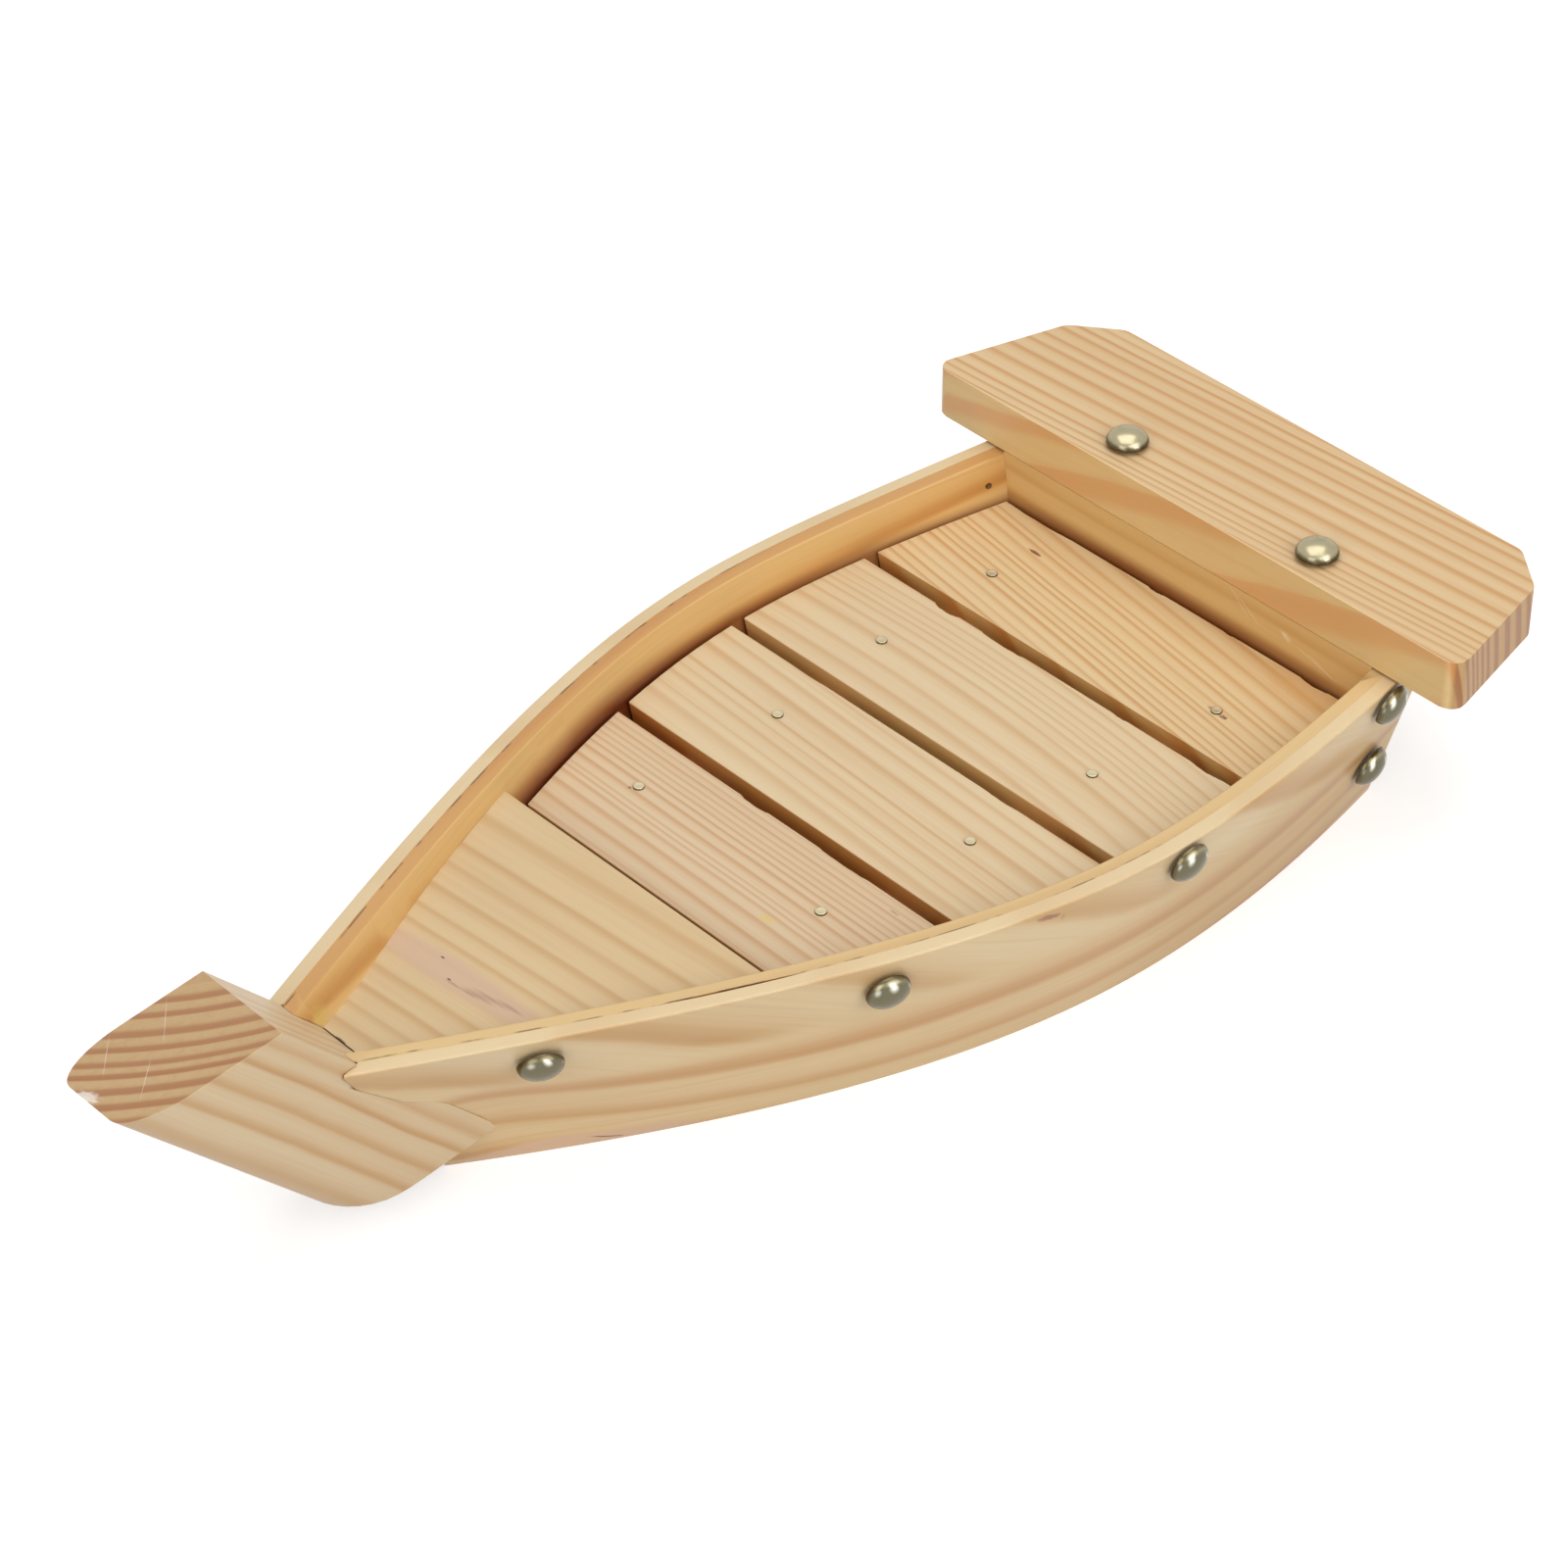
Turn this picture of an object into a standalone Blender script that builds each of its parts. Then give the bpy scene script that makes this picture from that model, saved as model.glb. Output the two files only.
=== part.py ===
"""Wooden sushi boat: two-ply bent sides, stem block, transom, stern board and a lift-out slat deck.

Blender script, metres, +Z up. The bow points along -X, port is -Y, and the boat stands on z = 0.
Run it with: blender --background --python part.py
"""

import math

import bmesh
import bpy
from mathutils import Matrix, Vector

MM = 0.001

# Clearances
GAP = 0.3 * MM               # between glued or nailed faces
NAIL_GAP = 0.2 * MM          # round a shank, and under a head
DECK_CLEARANCE = 0.9 * MM    # from the lift-out deck to the planks
DECK_FRONT_CLEARANCE = 6.3 * MM
DECK_REAR_CLEARANCE = 1.3 * MM

# Side planks: plan curves of the outer face at the gunwale and at the foot
GUNWALE_BOW_X = -141.2 * MM
GUNWALE_BOW_HALF = 15.6 * MM
GUNWALE_BEAM_X = 65.6 * MM
GUNWALE_BEAM_HALF = 82.1 * MM
GUNWALE_STERN_HALF = 71.8 * MM
GUNWALE_ROUNDNESS = 0.50
FOOT_BOW_X = -107.0 * MM
FOOT_BOW_HALF = 7.0 * MM
FOOT_BEAM_X = 73.6 * MM
FOOT_BEAM_HALF = 68.5 * MM
FOOT_STERN_HALF = 56.6 * MM
FOOT_ROUNDNESS = 1.10
PLANK_STERN_X = 162.5 * MM
SIDE_HEIGHT = 49.0 * MM      # at the beam
BOW_RISE = 4.5 * MM
STERN_RISE = 2.5 * MM
BOW_HOLLOW = 5.0 * MM        # hollow of the flare, aft of the stem
BOW_HOLLOW_RUN = 0.07        # share of the plank's run at which it is deepest
BOW_END_SKEW = 1.05          # how far the outer ply's end is cut back, for each unit of its depth
OUTER_PLY = 4.0 * MM
INNER_PLY = 3.7 * MM
RUN_STEP = 0.001             # share of the run over which the plank's direction is measured
PLANK_STATIONS = 48
PLANK_ROWS = 6

# Stem block
STEM_LEAN = math.radians(46.8)
STEM_DEPTH = 34.3 * MM
STEM_HALF = 14.6 * MM
STEM_NOSE_HALF = 7.5 * MM
STEM_NOSE_RUN = 15.0 * MM
STEM_TOP_REAR_X = -155.8 * MM
STEM_TOP_REAR_Z = 74.5 * MM
STEM_HEIGHT = 63.3 * MM      # from the rear top corner to the rear bottom corner
STEM_END_TILT = math.radians(6.6)
STEM_HEEL_RADIUS = 10.0 * MM
STEM_STATIONS = 14
SLOT_STATIONS = 12           # how many of the plank's stations the slots' cutters cover

# Boards inside the hull
BOTTOM_THICKNESS = 8.0 * MM
BOTTOM_FRONT_X = -97.0 * MM  # just under the heel of the stem
FOREDECK_THICKNESS = 7.0 * MM
FOREDECK_ABOVE_DECK = 7.0 * MM
FOREDECK_REAR_X = -40.2 * MM
TRANSOM_FACE_X = 148.0 * MM  # inner face, at the stern board
TRANSOM_RAKE = 0.10
TRANSOM_THICKNESS = 14.0 * MM
BOARD_STATIONS = 10

# Stern board
STERN_BOARD_THICKNESS = 14.3 * MM
STERN_BOARD_DEPTH = 50.3 * MM
STERN_BOARD_FRONT_HALF = 93.5 * MM
STERN_BOARD_REAR_HALF = 80.8 * MM
STERN_BOARD_CLIP = 10.5 * MM
STERN_BOARD_FRONT_RADIUS = 4.0 * MM
STERN_BOARD_CLIP_RADIUS = 5.0 * MM
STERN_BOARD_EDGE = 1.0 * MM
CORNER_STEPS = 6

# Lift-out deck
SLAT_COUNT = 4
SLAT_GAP = 4.4 * MM
SLAT_THICKNESS = 8.0 * MM
DECK_HEIGHT = 38.5 * MM
RUNNER_Y = 36.8 * MM
RUNNER_WIDTH = 15.0 * MM
RUNNER_REAR_INSET = 9.0 * MM

# Dome-head nails
DOME_RADIUS = 5.7 * MM
DOME_HEIGHT = 3.4 * MM
DOME_SHANK_RADIUS = 0.9 * MM
DOME_SIDES = 20
DOME_RINGS = 5
PLANK_NAIL_LENGTH = 6.5 * MM
TRANSOM_NAIL_LENGTH = 13.0 * MM
STERN_BOARD_NAIL_LENGTH = 22.0 * MM
# Place along the plank, and drop below the gunwale at port and at starboard
PLANK_NAILS = ((-96.4 * MM, 9.4 * MM, 9.8 * MM), (-17.8 * MM, 9.7 * MM, 9.4 * MM),
               (65.5 * MM, 5.5 * MM, 8.6 * MM), (146.0 * MM, 4.8 * MM, 8.2 * MM))
# Aft of the transom's inner face, and drop below the gunwale
TRANSOM_NAIL = (5.0 * MM, 30.9 * MM)
# Aft of the stern board's front edge, then out from the middle line
STERN_BOARD_NAILS = {"port": (9.6 * MM, 37.0 * MM), "starboard": (10.5 * MM, 31.1 * MM)}

# Slat nails
SLAT_NAIL_RADIUS = 1.5 * MM
SLAT_NAIL_HEAD = 0.7 * MM
SLAT_NAIL_SHANK_RADIUS = 0.7 * MM
SLAT_NAIL_LENGTH = 19.0 * MM
SLAT_NAIL_SIDES = 12
# Hand-driven: aft of the slat's middle, then outward from the runner's middle at port and at starboard
SLAT_NAIL_OFFSETS = ((4.0 * MM, -4.9 * MM, -2.3 * MM), (3.4 * MM, -0.2 * MM, -3.7 * MM),
                     (-1.4 * MM, 1.0 * MM, 1.6 * MM), (-5.5 * MM, 3.8 * MM, 3.7 * MM))

# Colours: base colour, roughness, metallic
PINE = ((0.78, 0.57, 0.33), 0.35, 0.0)
PINE_PALE = ((0.83, 0.65, 0.42), 0.35, 0.0)
PINE_WARM = ((0.76, 0.50, 0.27), 0.35, 0.0)
BRASS = ((0.62, 0.58, 0.45), 0.25, 1.0)
STEEL = ((0.70, 0.70, 0.68), 0.30, 1.0)

SIDES = {"port": -1, "starboard": 1}
PLANK_THICKNESS = OUTER_PLY + GAP + INNER_PLY


# Scene

def clear_scene():
    for old in list(bpy.data.objects):
        bpy.data.objects.remove(old, do_unlink=True)


def new_collection(name):
    collection = bpy.data.collections.new(name)
    bpy.context.scene.collection.children.link(collection)
    return collection


def finish_of(name, finish):
    colour, roughness, metallic = finish
    material = bpy.data.materials.new(name)
    material.use_nodes = True
    shader = material.node_tree.nodes["Principled BSDF"]
    shader.inputs["Base Color"].default_value = (*colour, 1.0)
    shader.inputs["Roughness"].default_value = roughness
    shader.inputs["Metallic"].default_value = metallic
    material.diffuse_color = (*colour, 1.0)
    return material


def add_object(name, mesh, collection, finish=None):
    item = bpy.data.objects.new(name, mesh)
    collection.objects.link(item)
    if finish:
        mesh.materials.append(finish_of(name, finish))
    return item


# Mapped boards

def mapped_board(name, cuts, place, collection, finish=None):
    """A unit box, sliced cuts times along each axis, with each point moved by place(a, b, c)."""
    grid = bmesh.new()
    bmesh.ops.create_cube(grid, size=1.0, matrix=Matrix.Translation((0.5, 0.5, 0.5)))
    for axis, count in enumerate(cuts):
        normal = Vector((0.0, 0.0, 0.0))
        normal[axis] = 1.0
        for index in range(1, count):
            everything = grid.verts[:] + grid.edges[:] + grid.faces[:]
            bmesh.ops.bisect_plane(grid, geom=everything, plane_co=normal * (index / count), plane_no=normal)
    for vertex in grid.verts:
        vertex.co = place(*vertex.co)
    if grid.calc_volume(signed=True) < 0.0:
        bmesh.ops.reverse_faces(grid, faces=grid.faces)
    mesh = bpy.data.meshes.new(name)
    grid.to_mesh(mesh)
    grid.free()
    return add_object(name, mesh, collection, finish)


def soften(item, width, segments=2):
    bevel = item.modifiers.new("Soft edges", "BEVEL")
    bevel.width = width
    bevel.segments = segments
    bevel.limit_method = "ANGLE"
    bevel.angle_limit = math.radians(40)


def cut_away(item, cutter):
    cut = item.modifiers.new("Cut " + cutter.name, "BOOLEAN")
    cut.operation = "DIFFERENCE"
    cut.solver = "EXACT"
    cut.object = cutter


# Hull form

def blend(start, end, share):
    return start + (end - start) * share


def bend(share, roundness):
    """A bent plank's fall from its beam: flat at 0, near straight at 1, as a hyperbola."""
    return (math.hypot(1.0, share / roundness) - 1.0) / (math.hypot(1.0, 1.0 / roundness) - 1.0)


def plan_half(x, bow_x, bow_half, beam_x, beam_half, stern_half, roundness):
    if x <= beam_x:
        return beam_half - (beam_half - bow_half) * bend((beam_x - x) / (beam_x - bow_x), roundness)
    return beam_half - (beam_half - stern_half) * bend((x - beam_x) / (PLANK_STERN_X - beam_x), roundness)


def gunwale_half(x):
    return plan_half(x, GUNWALE_BOW_X, GUNWALE_BOW_HALF, GUNWALE_BEAM_X, GUNWALE_BEAM_HALF,
                     GUNWALE_STERN_HALF, GUNWALE_ROUNDNESS)


def foot_half(x):
    return plan_half(x, FOOT_BOW_X, FOOT_BOW_HALF, FOOT_BEAM_X, FOOT_BEAM_HALF,
                     FOOT_STERN_HALF, FOOT_ROUNDNESS)


def gunwale_height(x):
    if x <= GUNWALE_BEAM_X:
        return SIDE_HEIGHT + BOW_RISE * ((GUNWALE_BEAM_X - x) / (GUNWALE_BEAM_X - GUNWALE_BOW_X)) ** 2
    return SIDE_HEIGHT + STERN_RISE * ((x - GUNWALE_BEAM_X) / (PLANK_STERN_X - GUNWALE_BEAM_X)) ** 2


def bow_hollow(run, rise):
    """Inward sag of the flare: none at the bow end, the foot and the gunwale, and fading out aft."""
    if run <= 0.0 or not 0.0 < rise < 1.0:
        return 0.0
    along = run / BOW_HOLLOW_RUN
    return BOW_HOLLOW * (along * math.exp(1.0 - along)) ** 2 * math.sin(math.pi * rise ** 0.75)


def face_point(run, z):
    """The plank's outer face, starboard: run is 0 at the bow end and 1 at the stern end."""
    top_x = blend(GUNWALE_BOW_X, PLANK_STERN_X, run)
    foot_x = blend(FOOT_BOW_X, PLANK_STERN_X, run)
    rise = z / gunwale_height(top_x)
    half = blend(foot_half(foot_x), gunwale_half(top_x), rise) - bow_hollow(run, rise)
    return Vector((blend(foot_x, top_x, rise), half, z))


def along_plank(run, z):
    return face_point(run + RUN_STEP, z) - face_point(run - RUN_STEP, z)


def plank_point(run, z, depth):
    """A point in the plank, depth inside its outer face, measured level."""
    along = along_plank(run, z)
    inward = Vector((along.y, -along.x, 0.0)).normalized()
    return face_point(run, z) + inward * depth


def run_at(x, z, depth):
    low, high = -0.2, 1.2
    for _ in range(40):
        middle = 0.5 * (low + high)
        if plank_point(middle, z, depth).x < x:
            low = middle
        else:
            high = middle
    return 0.5 * (low + high)


def plank_half(x, z, depth):
    return plank_point(run_at(x, z, depth), z, depth).y


def inside_half(x, z):
    return plank_half(x, z, PLANK_THICKNESS)


def top_of_run(run):
    return gunwale_height(blend(GUNWALE_BOW_X, PLANK_STERN_X, run))


def bow_end_run(depth):
    """The run at which a ply's bow end starts, for a depth inside the outer face."""
    return BOW_END_SKEW * depth / (PLANK_STERN_X - GUNWALE_BOW_X)


# Stem block

STEM_AXIS = Vector((-math.cos(STEM_LEAN), 0.0, math.sin(STEM_LEAN)))
STEM_FORWARD = Vector((-math.sin(STEM_LEAN), 0.0, -math.cos(STEM_LEAN)))
STEM_TOP_REAR = Vector((STEM_TOP_REAR_X, 0.0, STEM_TOP_REAR_Z))
STEM_LENGTH = STEM_HEIGHT / math.sin(STEM_LEAN)


def stem_rear_x(z):
    return STEM_TOP_REAR_X + (STEM_TOP_REAR_Z - z) / math.tan(STEM_LEAN)


def stem_point(depth_share, side_share, height_share):
    """depth_share runs from the nose to the rear face, and height_share from the heel to the top."""
    from_nose = STEM_DEPTH * depth_share
    from_rear = STEM_DEPTH - from_nose
    end_slope = math.tan(math.pi / 2 - STEM_LEAN - STEM_END_TILT)
    top = STEM_TOP_REAR + STEM_FORWARD * from_rear + STEM_AXIS * (from_rear * end_slope)
    heel = top - STEM_AXIS * STEM_LENGTH
    if from_nose < STEM_HEEL_RADIUS:
        heel += STEM_AXIS * (STEM_HEEL_RADIUS - math.sqrt(from_nose * (2 * STEM_HEEL_RADIUS - from_nose)))
    half = STEM_HALF
    if from_nose < STEM_NOSE_RUN:
        share = 1.0 - from_nose / STEM_NOSE_RUN
        half = blend(STEM_NOSE_HALF, STEM_HALF, math.sqrt(1.0 - share * share))
    point = blend(heel, top, height_share)
    point.y = half * (2.0 * side_share - 1.0)
    return point


def make_stem(parts, cutters):
    def place(a, b, c):
        return stem_point(1.0 - math.cos(a * math.pi / 2), b, c)

    stem = mapped_board("stem_block", (STEM_STATIONS, 1, 1), place, parts, PINE_PALE)
    for side, sign in SIDES.items():
        def slot(a, b, c, sign=sign):
            depth = blend(-GAP, OUTER_PLY + GAP, b)
            run = blend(bow_end_run(depth - 2 * GAP), SLOT_STATIONS / PLANK_STATIONS, a)
            point = plank_point(run, (top_of_run(run) + GAP) * c, depth)
            point.y *= sign
            return point

        cut_away(stem, mapped_board(side + "_slot", (SLOT_STATIONS, 1, PLANK_ROWS), slot, cutters))


# Planks

def make_planks(parts, cutters, holes):
    def stem_space(a, b, c):
        z = blend(-STEM_DEPTH, STEM_TOP_REAR_Z + STEM_DEPTH, c)
        x = stem_rear_x(z) + GAP - 2 * STEM_DEPTH * (1.0 - a)
        return Vector((x, 2 * STEM_DEPTH * (2.0 * b - 1.0), z))

    forward = mapped_board("stem_space", (1, 1, 1), stem_space, cutters)
    for side, sign in SIDES.items():
        for ply, start, thickness in (("outer", 0.0, OUTER_PLY), ("inner", OUTER_PLY + GAP, INNER_PLY)):
            def place(a, b, c, sign=sign, ply=ply, start=start, thickness=thickness):
                depth = start + thickness * b
                # The inner ply runs on forward, to be cut off along the stem's rear face
                bow_end = bow_end_run(depth) if ply == "outer" else bow_end_run(OUTER_PLY) * (1.0 - b)
                run = blend(bow_end, 1.0, a)
                point = plank_point(run, top_of_run(run) * c, depth)
                point.y *= sign
                return point

            name = "%s_%s_plank" % (side, ply)
            plank = mapped_board(name, (PLANK_STATIONS, 1, PLANK_ROWS), place, parts, PINE)
            if ply == "inner":
                cut_away(plank, forward)
            cut_away(plank, holes[side])


# Boards inside the hull

TRANSOM_TOP = SIDE_HEIGHT + STERN_RISE
STERN_BOARD_FOOT = TRANSOM_TOP + GAP


def transom_face_x(z):
    return TRANSOM_FACE_X - TRANSOM_RAKE * (STERN_BOARD_FOOT - z)


def between_planks(name, front, rear, foot, top, clearance, parts, finish, cuts=BOARD_STATIONS):
    """A board that fills the hull from the front(z) face to the rear(z) face."""
    def place(a, b, c):
        z = blend(foot, top, c)
        x = blend(front(z), rear(z), a)
        return Vector((x, (inside_half(x, z) - clearance) * (2.0 * b - 1.0), z))

    return mapped_board(name, (cuts, 1, 2), place, parts, finish)


def make_boards(parts, holes):
    deck_foot = DECK_HEIGHT + FOREDECK_ABOVE_DECK - FOREDECK_THICKNESS
    between_planks("foredeck", lambda z: stem_rear_x(z) + 2 * GAP, lambda z: FOREDECK_REAR_X,
                   deck_foot, deck_foot + FOREDECK_THICKNESS, GAP, parts, PINE_PALE)
    between_planks("bottom_board", lambda z: BOTTOM_FRONT_X, lambda z: transom_face_x(z) - GAP,
                   0.0, BOTTOM_THICKNESS, GAP, parts, PINE, cuts=2 * BOARD_STATIONS)
    transom = between_planks("transom", transom_face_x, lambda z: transom_face_x(z) + TRANSOM_THICKNESS,
                             0.0, TRANSOM_TOP, GAP, parts, PINE_WARM, cuts=3)
    cut_away(transom, holes["transom"])


# Stern board

def rounded_outline(corners):
    """Points round a closed outline whose corners are (x, y, radius)."""
    points = []
    for index, (x, y, radius) in enumerate(corners):
        here = Vector((x, y))
        before = (Vector(corners[index - 1][:2]) - here).normalized()
        after = (Vector(corners[(index + 1) % len(corners)][:2]) - here).normalized()
        half_angle = before.angle(after) / 2
        centre = here + (before + after).normalized() * (radius / math.sin(half_angle))
        start = here + before * (radius / math.tan(half_angle)) - centre
        sweep = start.angle_signed(here + after * (radius / math.tan(half_angle)) - centre)
        for step in range(CORNER_STEPS + 1):
            turned = Matrix.Rotation(-sweep * step / CORNER_STEPS, 2) @ start
            points.append(centre + turned)
    return points


def make_stern_board(parts, holes):
    end_run = Vector((STERN_BOARD_DEPTH, STERN_BOARD_REAR_HALF - STERN_BOARD_FRONT_HALF))
    clip_start = Vector((0.0, STERN_BOARD_FRONT_HALF)) + end_run * (1.0 - STERN_BOARD_CLIP / end_run.length)
    half = [(0.0, STERN_BOARD_FRONT_HALF, STERN_BOARD_FRONT_RADIUS),
            (clip_start.x, clip_start.y, STERN_BOARD_CLIP_RADIUS),
            (STERN_BOARD_DEPTH, STERN_BOARD_REAR_HALF - STERN_BOARD_CLIP, STERN_BOARD_CLIP_RADIUS)]
    corners = half + [(x, -y, radius) for x, y, radius in reversed(half)]
    curve = bpy.data.curves.new("stern_board_outline", "CURVE")
    curve.dimensions = "2D"
    curve.fill_mode = "BOTH"
    curve.extrude = STERN_BOARD_THICKNESS / 2
    outline = rounded_outline(corners)
    spline = curve.splines.new("POLY")
    spline.points.add(len(outline) - 1)
    for point, place in zip(spline.points, outline):
        point.co = (place.x, place.y, 0.0, 1.0)
    spline.use_cyclic_u = True
    flat = bpy.data.objects.new("stern_board_outline", curve)
    bpy.context.scene.collection.objects.link(flat)
    graph = bpy.context.evaluated_depsgraph_get()
    mesh = bpy.data.meshes.new_from_object(flat.evaluated_get(graph))
    mesh.name = "stern_board"
    bpy.data.objects.remove(flat, do_unlink=True)
    solid = bmesh.new()
    solid.from_mesh(mesh)
    bmesh.ops.remove_doubles(solid, verts=solid.verts, dist=0.00001)
    bmesh.ops.recalc_face_normals(solid, faces=solid.faces)
    solid.to_mesh(mesh)
    solid.free()
    board = add_object("stern_board", mesh, parts, PINE_WARM)
    board.location = (TRANSOM_FACE_X, 0.0, STERN_BOARD_FOOT + STERN_BOARD_THICKNESS / 2)
    soften(board, STERN_BOARD_EDGE)
    cut_away(board, holes["stern_board"])


# Lift-out deck

DECK_FRONT_X = FOREDECK_REAR_X + DECK_FRONT_CLEARANCE
DECK_REAR_X = transom_face_x(DECK_HEIGHT) - DECK_REAR_CLEARANCE
SLAT_WIDTH = (DECK_REAR_X - DECK_FRONT_X - SLAT_GAP * (SLAT_COUNT - 1)) / SLAT_COUNT
SLAT_FOOT = DECK_HEIGHT - SLAT_THICKNESS


def slat_front_x(index):
    return DECK_FRONT_X + index * (SLAT_WIDTH + SLAT_GAP)


def runner_front_x():
    """Where the hull has grown wide enough for a runner."""
    needed = RUNNER_Y + RUNNER_WIDTH / 2 + DECK_CLEARANCE
    x = DECK_FRONT_X
    while inside_half(x, BOTTOM_THICKNESS) < needed:
        x += MM
    return x


def make_deck(parts, holes):
    for index in range(SLAT_COUNT):
        front = slat_front_x(index)
        slat = between_planks("slat_%d" % (index + 1), lambda z, x=front: x, lambda z, x=front: x + SLAT_WIDTH,
                              SLAT_FOOT, DECK_HEIGHT, DECK_CLEARANCE, parts, PINE_PALE, cuts=6)
        cut_away(slat, holes["deck"])
    front = runner_front_x()
    rear = DECK_REAR_X - RUNNER_REAR_INSET
    foot = BOTTOM_THICKNESS + GAP
    top = SLAT_FOOT - GAP
    for side, sign in SIDES.items():
        bpy.ops.mesh.primitive_cube_add(size=1.0)
        runner = bpy.context.object
        runner.name = side + "_runner"
        runner.data.name = runner.name
        runner.data.transform(Matrix.Diagonal((rear - front, RUNNER_WIDTH, top - foot, 1.0)))
        runner.location = ((front + rear) / 2, sign * RUNNER_Y, (foot + top) / 2)
        for home in list(runner.users_collection):
            home.objects.unlink(runner)
        parts.objects.link(runner)
        runner.data.materials.append(finish_of(runner.name, PINE))
        cut_away(runner, holes["deck"])


# Nails

def turned_nail(name, profile, sides, place, into, parts, finish):
    """A profile of (radius, height), from its top down, turned round the nail's axis."""
    mesh = bpy.data.meshes.new(name)
    verts = [(radius, 0.0, height) for radius, height in profile]
    mesh.from_pydata(verts, [(i, i + 1) for i in range(len(verts) - 1)], [])
    nail = add_object(name, mesh, parts, finish)
    turn = nail.modifiers.new("Turned", "SCREW")
    turn.axis = "Z"
    turn.steps = sides
    turn.render_steps = sides
    turn.use_merge_vertices = True
    turn.merge_threshold = 0.00001
    nail.location = place
    nail.rotation_mode = "QUATERNION"
    nail.rotation_quaternion = (-into).to_track_quat("Z", "Y")
    return nail


def dome_profile(length):
    """Dome top, rim, underside and a pointed shank. Height 0 is the face that the nail sits on."""
    arc = [(i / DOME_RINGS) * math.pi / 2 for i in range(DOME_RINGS + 1)]
    dome = [(DOME_RADIUS * math.sin(a), NAIL_GAP + DOME_HEIGHT * math.cos(a)) for a in arc]
    point = 2.0 * DOME_SHANK_RADIUS
    return dome + [(DOME_SHANK_RADIUS, NAIL_GAP), (DOME_SHANK_RADIUS, point - length), (0.0, -length)]


def slat_nail_profile():
    top = NAIL_GAP + SLAT_NAIL_HEAD
    point = 2.0 * SLAT_NAIL_SHANK_RADIUS
    return [(0.0, top), (0.7 * SLAT_NAIL_RADIUS, top), (SLAT_NAIL_RADIUS, NAIL_GAP + 0.5 * SLAT_NAIL_HEAD),
            (SLAT_NAIL_RADIUS, NAIL_GAP), (SLAT_NAIL_SHANK_RADIUS, NAIL_GAP),
            (SLAT_NAIL_SHANK_RADIUS, point - SLAT_NAIL_LENGTH), (0.0, -SLAT_NAIL_LENGTH)]


def add_hole(solid, place, into, radius, length):
    depth = length + NAIL_GAP
    turn = into.to_track_quat("Z", "Y").to_matrix().to_4x4()
    shift = Matrix.Translation(place + into * (depth / 2 - NAIL_GAP))
    bmesh.ops.create_cone(solid, cap_ends=True, segments=SLAT_NAIL_SIDES, radius1=radius + NAIL_GAP, radius2=radius + NAIL_GAP,
                          depth=depth + 2 * NAIL_GAP, matrix=shift @ turn)


def plank_nail_seat(x, drop, sign):
    """Where a nail's underside meets the outer face, and the way that its shank points."""
    z = gunwale_height(x) - drop
    run = run_at(x, z, 0.0)
    up = face_point(run, z + GAP) - face_point(run, z - GAP)
    into = up.cross(along_plank(run, z)).normalized()
    if into.y > 0.0:
        into = -into
    place = face_point(run, z)
    return Vector((place.x, sign * place.y, place.z)), Vector((into.x, sign * into.y, into.z))


def nail_list():
    """Name, seat, direction, length and the hole groups that each dome nail goes through."""
    nails = []
    for side, sign in SIDES.items():
        for index, (x, port_drop, starboard_drop) in enumerate(PLANK_NAILS):
            seat, into = plank_nail_seat(x, port_drop if side == "port" else starboard_drop, sign)
            nails.append(("plank_nail_%s_%d" % (side, index + 1), seat, into, PLANK_NAIL_LENGTH, (side,)))
        aft, drop = TRANSOM_NAIL
        seat, into = plank_nail_seat(transom_face_x(TRANSOM_TOP - drop) + aft, drop, sign)
        name = "plank_nail_%s_%d" % (side, 1 + len(PLANK_NAILS))
        nails.append((name, seat, into, TRANSOM_NAIL_LENGTH, (side, "transom")))
        aft, out = STERN_BOARD_NAILS[side]
        seat = Vector((TRANSOM_FACE_X + aft, sign * out, STERN_BOARD_FOOT + STERN_BOARD_THICKNESS))
        nails.append(("stern_board_nail_" + side, seat, Vector((0.0, 0.0, -1.0)),
                      STERN_BOARD_NAIL_LENGTH, ("stern_board", "transom")))
    return nails


def slat_nail_seats():
    for index in range(SLAT_COUNT):
        aft, *outward = SLAT_NAIL_OFFSETS[index]
        x = slat_front_x(index) + SLAT_WIDTH / 2 + aft
        for (side, sign), offset in zip(SIDES.items(), outward):
            place = Vector((x, sign * (RUNNER_Y + offset), DECK_HEIGHT))
            yield "slat_nail_%d_%s" % (index + 1, side), place


def make_nails(parts, cutters):
    """The nails, and one cutter with the holes of each group of boards."""
    solids = {}
    down = Vector((0.0, 0.0, -1.0))
    for name, seat, into, length, groups in nail_list():
        turned_nail(name, dome_profile(length), DOME_SIDES, seat, into, parts, BRASS)
        for group in groups:
            add_hole(solids.setdefault(group, bmesh.new()), seat, into, DOME_SHANK_RADIUS, length)
    for name, seat in slat_nail_seats():
        turned_nail(name, slat_nail_profile(), SLAT_NAIL_SIDES, seat, down, parts, STEEL)
        add_hole(solids.setdefault("deck", bmesh.new()), seat, down, SLAT_NAIL_SHANK_RADIUS, SLAT_NAIL_LENGTH)
    holes = {}
    for group, solid in solids.items():
        mesh = bpy.data.meshes.new(group + "_holes")
        solid.to_mesh(mesh)
        solid.free()
        holes[group] = add_object(group + "_holes", mesh, cutters)
    return holes


def main():
    clear_scene()
    parts = new_collection("sushi_boat")
    cutters = new_collection("cutters")
    holes = make_nails(parts, cutters)
    make_stem(parts, cutters)
    make_planks(parts, cutters, holes)
    make_boards(parts, holes)
    make_stern_board(parts, holes)
    make_deck(parts, holes)
    for cutter in cutters.objects:
        cutter.hide_render = True
        cutter.display_type = "WIRE"


main()
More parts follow.
